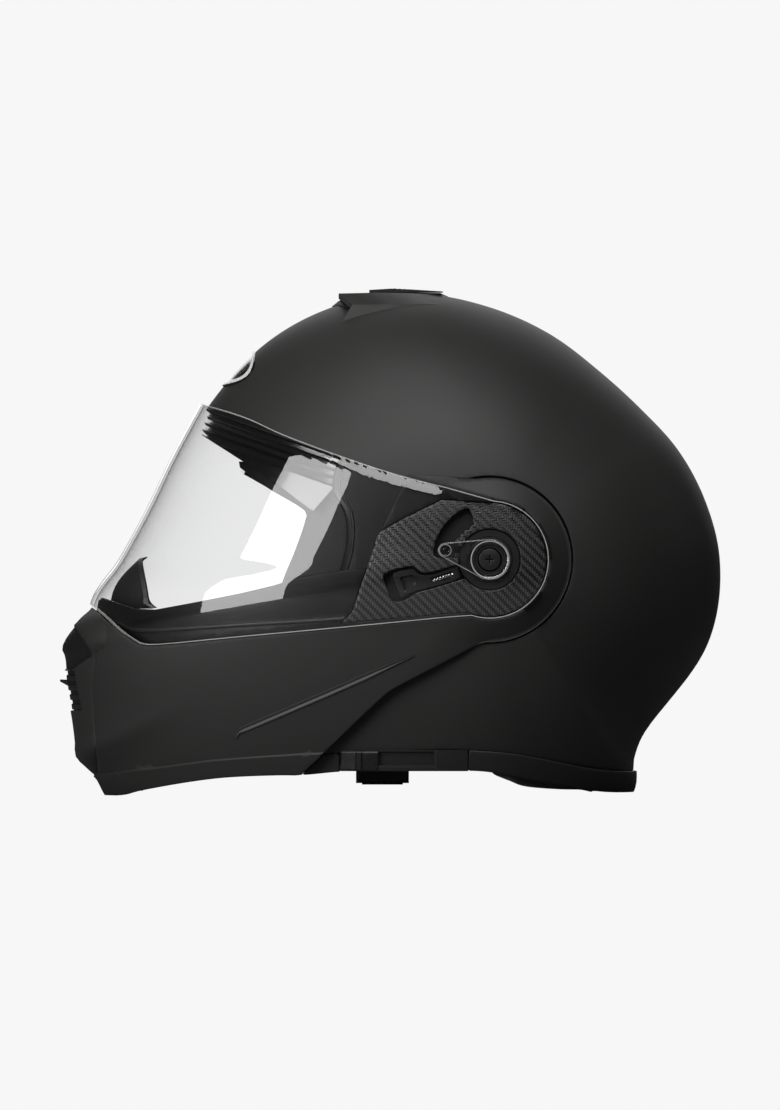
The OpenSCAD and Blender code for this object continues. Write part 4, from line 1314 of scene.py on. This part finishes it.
# Painted highlight lines along the clear ring's edges: outer line, inner line, and the x that they stand at
BOSS_HIGHLIGHT_LINES = [
    (arm, tangent_pair(PIVOT, 10.36, PEG, 3.46), 128.0),
    (circle(9.75), circle(9.5), 130.1),
    (circle(3.2, 32, PEG), circle(2.95, 32, PEG), 128.9),
]
for side in ("left", "right"):
    def add(name, shape, mat, body, *replaced, sharp=35):
        v_, f_ = one_side(*shape, side)
        o = weld(piece(name + "_" + side, v_, f_, [mat], sharp=sharp))
        return put(o, body, *[r + "_" + side for r in replaced])

    add("hub_disc", lathe(HUB_SECTION), satin, "chin_bar", "visor_hub")
    add("boss_ring", lathe(BOSS_SECTION), clear_lens, "visor", "visor_boss")
    add("boss_arm", slab([arm, circle(9.3)[::-1]], 126.2, 127.9, 0.25), clear_lens, "visor", "visor_boss")
    for k, (big, small, x_edge) in enumerate(BOSS_HIGHLIGHT_LINES):
        # A thin ring of the whitish painted highlight on each edge
        ring = slab([big, small[::-1]], x_edge - 0.25, x_edge + 0.1, 0.05)
        add("boss_highlight_line%d" % k, ring, painted_edge_lines, "visor", "visor_boss")
    add("boss_peg", lathe(PEG_SECTION, 40, PEG), clear_lens, "visor", "visor_boss")
    add("screw_head", slab([circle(5.4, 40), cross[::-1]], 128.2, 129.4, 0.3), satin, "shell", "pivot_screw")
    add(
        "screw_floor", lathe([(0.01, 126.0), (5.0, 126.0), (5.0, 128.3), (0.01, 128.3)], 40), dark_steel,
        "shell", "pivot_screw"
    )
    add(
        "post_cap",
        lathe([(4.9, 119), (6.0, 119), (6.0, 128.0), (5.7, 128.3), (5.5, 128.2), (4.9, 127.0)], 64),
        dark_steel, "shell", "pivot_base"
    )
    lever_f = within(
        curve(
            [
                (2.0, 117.6), (3.6, 118.6), (7, 119.4), (11.6, 120.2), (15.6, 117.4), (22, 117.4),
                (34.5, 121.4), (36, 119.6), (36, 114.6), (22, 110.4), (14, 108.4), (8, 105.8), (6.2, 105.2),
                (5.2, 106.4), (1.8, 115.4), (2.0, 117.6)
            ], 4
        )
    )
    tab_f = within([(5.0, 115.8), (12, 117.0), (14.6, 115.0), (13.0, 110.4), (7.4, 107.8)])
    slot_f = within([(21.6, 112.2), (34.4, 116.2), (33.6, 119.2), (20.8, 115.2)])
    lever = Skin(
        Egg(125.4, CHIN_SIDE), 900, 240, lambda p: np.where(np.abs(p[:, 1] - 19) < 24, lever_f(p), 9)
    )
    lever.cut(tab_f)
    lever.cut(slot_f)
    dip = lambda p: -1.3 * smooth01(-tab_f(p) / 0.7) - 1.5 * smooth01(-slot_f(p) / 0.5)
    o = lever.solid(
        "release_lever_body_" + side, 2.6, relief=dip, rim=0.4, mats=[satin], sides=side, sharp=30
    )
    put(o, "release_lever_" + side, "release_lever_" + side)
    # The coil spring in the lever's slot
    turns, per = 7, 14
    axis0, axis1 = np.array([124.6, 22.4, 113.9]), np.array([124.6, 33.0, 117.2])
    d = (axis1 - axis0) / np.linalg.norm(axis1 - axis0)
    e1 = np.array([1.0, 0, 0])
    e2 = np.cross(d, e1)
    pts = [
        axis0 + (axis1 - axis0) * k / (turns * per) + 1.15
        * (e1 * math.cos(2 * math.pi * k / per) + e2 * math.sin(2 * math.pi * k / per))
        for k in range(turns * per + 1)
    ]
    coil = []
    for k, q in enumerate(pts):
        tan = pts[min(k + 1, len(pts) - 1)] - pts[max(k - 1, 0)]
        tan /= np.linalg.norm(tan)
        n1 = np.cross(tan, d)
        n1 /= np.linalg.norm(n1)
        n2 = np.cross(tan, n1)
        coil += [
            q + 0.3 * (n1 * math.cos(2 * math.pi * c / 6) + n2 * math.sin(2 * math.pi * c / 6))
            for c in range(6)
        ]
    add(
        "spring_coil", (np.array(coil), sweep_faces(len(pts), 6)), silver, "release_lever_" + side,
        "lever_spring"
    )

# ---------------------------------------------------------------- padded lining
def remeshed(key, name, voxel, inset, smooth, mats):
    """A new object with the shape of a soft CAD node, a little smaller and with rounded edges."""
    obj = bpy.data.objects.new(name, nodes[key].data.copy())
    bpy.context.scene.collection.objects.link(obj)
    grid = obj.modifiers.new("grid", "REMESH")
    grid.mode = "VOXEL"
    grid.voxel_size = voxel * MM
    relax = obj.modifiers.new("relax", "SMOOTH")
    relax.factor = 0.5
    relax.iterations = smooth
    if inset:
        shrink = obj.modifiers.new("shrink", "DISPLACE")
        shrink.strength = -inset * MM
        shrink.mid_level = 0.0
    settle(obj)
    obj.data.materials.clear()
    for m in mats:
        obj.data.materials.append(m)
    return obj


def settle(obj):
    """Applies the modifiers to the mesh."""
    deps = bpy.context.evaluated_depsgraph_get()
    deps.update()
    mesh = bpy.data.meshes.new_from_object(obj.evaluated_get(deps))
    obj.modifiers.clear()
    obj.data = mesh


def triples(things, what):
    """Three numbers for each vertex or face of a mesh."""
    v = np.empty(len(things) * 3)
    things.foreach_get(what, v)
    return v.reshape(-1, 3)


def points_of(obj):
    return triples(obj.data.vertices, "co")


def shaded_smooth(obj):
    obj.data.polygons.foreach_set("use_smooth", [True] * len(obj.data.polygons))
    return obj


def inflated(obj, pressure, cap):
    """Swells the pad as cloth under pressure. No point moves further than cap."""
    start = points_of(obj)
    cloth = obj.modifiers.new("cloth", "CLOTH")
    cloth.settings.use_pressure = True
    cloth.settings.uniform_pressure_force = pressure
    cloth.settings.effector_weights.gravity = 0
    cloth.settings.quality = 4
    cloth.point_cache.frame_start = 1
    cloth.point_cache.frame_end = 20
    for f in range(1, 21):
        bpy.context.scene.frame_set(f)
    deps = bpy.context.evaluated_depsgraph_get()
    move = triples(obj.evaluated_get(deps).to_mesh().vertices, "co") - start
    obj.evaluated_get(deps).to_mesh_clear()
    obj.modifiers.clear()
    far = np.linalg.norm(move, axis=1)[:, None] + 1e-12
    end = start + move * np.minimum(1, cap * MM / far)
    obj.data.vertices.foreach_set("co", end.ravel())
    obj.data.update()
    bpy.context.scene.frame_set(1)
    sub = obj.modifiers.new("sub", "SUBSURF")
    sub.levels = sub.render_levels = 1
    settle(obj)
    return obj


def sewn(obj, seams, pick, width=2.6, depth=1.5):
    """Presses sewn seams in along the zero lines of functions of position, and gives panels their cloth."""
    v = points_of(obj) / MM
    n = triples(obj.data.vertices, "normal")
    sink = np.zeros(len(v))
    for f in seams:
        sink = np.maximum(sink, depth * np.exp(-((f(v) / width) ** 2)))
    v -= n * sink[:, None]
    obj.data.vertices.foreach_set("co", (v * MM).ravel())
    centres = triples(obj.data.polygons, "center") / MM
    obj.data.polygons.foreach_set("material_index", pick(centres).astype(int))
    shaded_smooth(obj)
    obj.data.update()
    return obj


def cheek_seams(sgn):
    return [lambda p: sgn * p[:, 0] - 74 - 0.06 * (p[:, 1] - 20), lambda p: p[:, 2] - 62 - 0.2 * p[:, 1]]


crown_seams = [
    lambda p: np.abs(p[:, 0]) - 26,
    lambda p: np.abs(p[:, 0]) - 56,
    lambda p: (turn_of(p) - 128) * 1.9,
]
crown_panels = lambda c: (np.abs(c[:, 0]) < 26) | ((np.abs(c[:, 0]) > 56) & (turn_of(c) < 128))
neck_seams = [lambda p: p[:, 2] - 14, lambda p: np.abs(p[:, 0]) - 34]
chin_seams = [lambda p: np.abs(p[:, 0]) - 40, lambda p: p[:, 2] - 48]
# Each pad's seams, which of its faces are mesh cloth, its fill, and how far it may swell in mm
for key, seams, panels, fill, swell in (
    ("crown_pad", crown_seams, crown_panels, 0.4, 2.2),
    ("cheek_pad_left", cheek_seams(1), lambda c: c[:, 0] < 70, 0.7, 3.0),
    ("cheek_pad_right", cheek_seams(-1), lambda c: -c[:, 0] < 70, 0.7, 3.0),
    ("neck_roll", neck_seams, lambda c: c[:, 2] > 14, 0.6, 2.4),
    ("chin_pad", chin_seams, lambda c: np.zeros(len(c)), 0.7, 3.0),
):
    pad = remeshed(key, key + "_cushion", 4.5, swell - 0.3, 4, [lining, mesh_cloth])
    inflated(pad, 4.0, swell)
    sewn(pad, seams, panels)
    put(pad, "chin_bar" if key == "chin_pad" else "shell", key)

buckle = remeshed("buckle_frame", "buckle_body", 0.7, 0.0, 14, [satin])
q = points_of(buckle)
q[:, 2] += np.where(
    q[:, 2] < 0.0135, np.clip(np.abs(q[:, 1] + 0.004) - 0.008, 0, 1) * 0.3, 0
) * np.clip((0.0135 - q[:, 2]) / 0.0075, 0, 1)
buckle.data.vertices.foreach_set("co", q.ravel())
put(shaded_smooth(buckle), "shell", "buckle_frame")

eps = remeshed("eps_liner", "eps_liner_foam", 4.0, 0.0, 6, [foam])
put(shaded_smooth(eps), "shell", "eps_liner")

# ---------------------------------------------------------------- chin strap
ACROSS = np.array([-12, -11.85, -11.3, -10.3, -9.7, -9.1, -6, -3, 0, 3, 6, 9.1, 9.7, 10.3, 11.3, 11.85, 12])


def strap_z(x):
    return 12.2 + 46 * abs(x / 80) ** 3


def webbing_strap(name, line, body, replaced):
    """Flat woven webbing across X with rounded selvedges and a row of stitches near each edge."""
    c, _ = resample(curve(line, 4), 0.8)
    d = np.gradient(c, axis=0)
    d /= np.linalg.norm(d, axis=1)[:, None]
    nrm = np.stack([-d[:, 1], d[:, 0]], -1)
    thick = 1.2 * np.sqrt(np.clip(1 - (np.maximum(np.abs(ACROSS) - 11.1, 0) / 0.95) ** 2, 0.02, 1))
    row = np.abs(np.abs(ACROSS) - 9.7) < 0.1
    v = []
    for k, q in enumerate(c):
        h = thick - np.where(row, 0.28 if k % 4 else -0.12, 0)
        for a, t in zip(ACROSS, h):
            v.append([q[0] + nrm[k, 0] * t, a - 4, q[1] + nrm[k, 1] * t])
        for a, t in zip(ACROSS[::-1], h[::-1]):
            v.append([q[0] - nrm[k, 0] * t, a - 4, q[1] - nrm[k, 1] * t])
    f = sweep_faces(len(c), 2 * len(ACROSS))
    return put(piece(name, v, f, [webbing], sharp=60), body, replaced)


webbing_strap("chin_webbing_right", [(-77.2, 69.5), (-77.2, 62), (-77, 56)] + [
    (x, strap_z(x)) for x in range(-75, 11, 5)
] + [(12, strap_z(12))],
              "shell", "chin_strap_right")
webbing_strap("chin_webbing_left", [(77.2, 69.5), (77.2, 62), (77, 56)] + [
    (x, strap_z(x)) for x in range(75, 41, -5)
] + [(40, strap_z(40))],
              "shell", "chin_strap_left")

# ---------------------------------------------------------------- CAD nodes that are seen as they are
looks = {
    "hinge_arm": dark_steel, "hinge_screws": dark_steel, "sun_visor": smoke_lens, "sun_visor_pin": steel,
    "latch_striker": steel, "latch_catch": steel, "button_housing": satin, "release_button": red,
    "strap_anchor": steel, "buckle_pin": steel, "buckle_lever": satin, "strap_tongue": steel,
    "top_vent_slider": satin,
}
for key, obj in nodes.items():
    for stem in sorted(looks, key=len, reverse=True):
        if key.startswith(stem):
            for s in obj.material_slots:
                s.material = looks[stem]
            break

# ---------------------------------------------------------------- floor, light and camera
def emitter(name, loc, aim, size, size_y, power):
    d = bpy.data.lights.new(name, "AREA")
    d.energy = power
    d.shape = "RECTANGLE"
    d.size = size
    d.size_y = size_y
    o = bpy.data.objects.new(name, d)
    o.location = loc
    o.rotation_euler = (Vector(aim) - Vector(loc)).to_track_quat("-Z", "Y").to_euler()
    o.visible_camera = False
    bpy.context.scene.collection.objects.link(o)
    return o


scene = bpy.context.scene
scene.view_settings.view_transform = "Standard"


def seen_only(nt, shown, lit):
    """Mixes two shaders: what is seen directly or through clear plastic, and what lights the helmet."""
    path = node(nt, "ShaderNodeLightPath")
    mix = node(nt, "ShaderNodeMixShader")
    nt.links.new(path.outputs["Is Camera Ray"], mix.inputs["Fac"])
    nt.links.new(lit.outputs[0], mix.inputs[1])
    nt.links.new(shown.outputs[0], mix.inputs[2])
    return mix


BACKDROP = (0.93, 0.93, 0.93, 1)
world = bpy.data.worlds.new("studio")
scene.world = world
world.use_nodes = True
nt = world.node_tree
ambient = nt.nodes["Background"]
ambient.inputs["Color"].default_value = (0.025, 0.025, 0.025, 1)
white = node(nt, "ShaderNodeBackground", Color=BACKDROP)
mix = seen_only(nt, white, ambient)
nt.links.new(mix.outputs[0], nt.nodes["World Output"].inputs["Surface"])

m, nt, b = material("studio_floor")
setting(b, Base_Color=(0.14, 0.14, 0.14, 1), Roughness=0.9, Specular_IOR_Level=0.1)
glow = node(nt, "ShaderNodeEmission", Color=BACKDROP)
mix = seen_only(nt, glow, b)
nt.links.new(mix.outputs[0], nt.nodes["Material Output"].inputs["Surface"])
floor_v = [(-6, -6, 0), (6, -6, 0), (6, 6, 0), (-6, 6, 0)]
floor = piece("studio_ground", np.array(floor_v) / MM, [[0, 1, 2, 3]], [m])

cam = bpy.data.cameras.new("camera")
cam.sensor_fit = "VERTICAL"
cam.sensor_height = 36
cam.lens = 1000
cam_obj = bpy.data.objects.new("camera", cam)
scene.collection.objects.link(cam_obj)
cam_obj.location = (16.36, 0.0, 0.1274)
cam.clip_end = 100
cam_obj.rotation_euler = (math.radians(90), 0, math.radians(90))
scene.camera = cam_obj

emitter("overhead_softbox", (0.95, -0.1, 1.25), (0, 0, 0.15), 1.0, 1.2, 19)
emitter("front_softbox", (1.05, -1.2, 0.34), (0.116, -0.05, 0.13), 0.8, 1.16, 17.5)
emitter("far_softbox", (-1.4, 0.1, 0.8), (0, 0, 0.13), 1.2, 1.2, 6)
emitter("rear_strip", (-0.7, 1.5, 1.1), (0, 0.1, 0.15), 0.4, 1.6, 0.8)
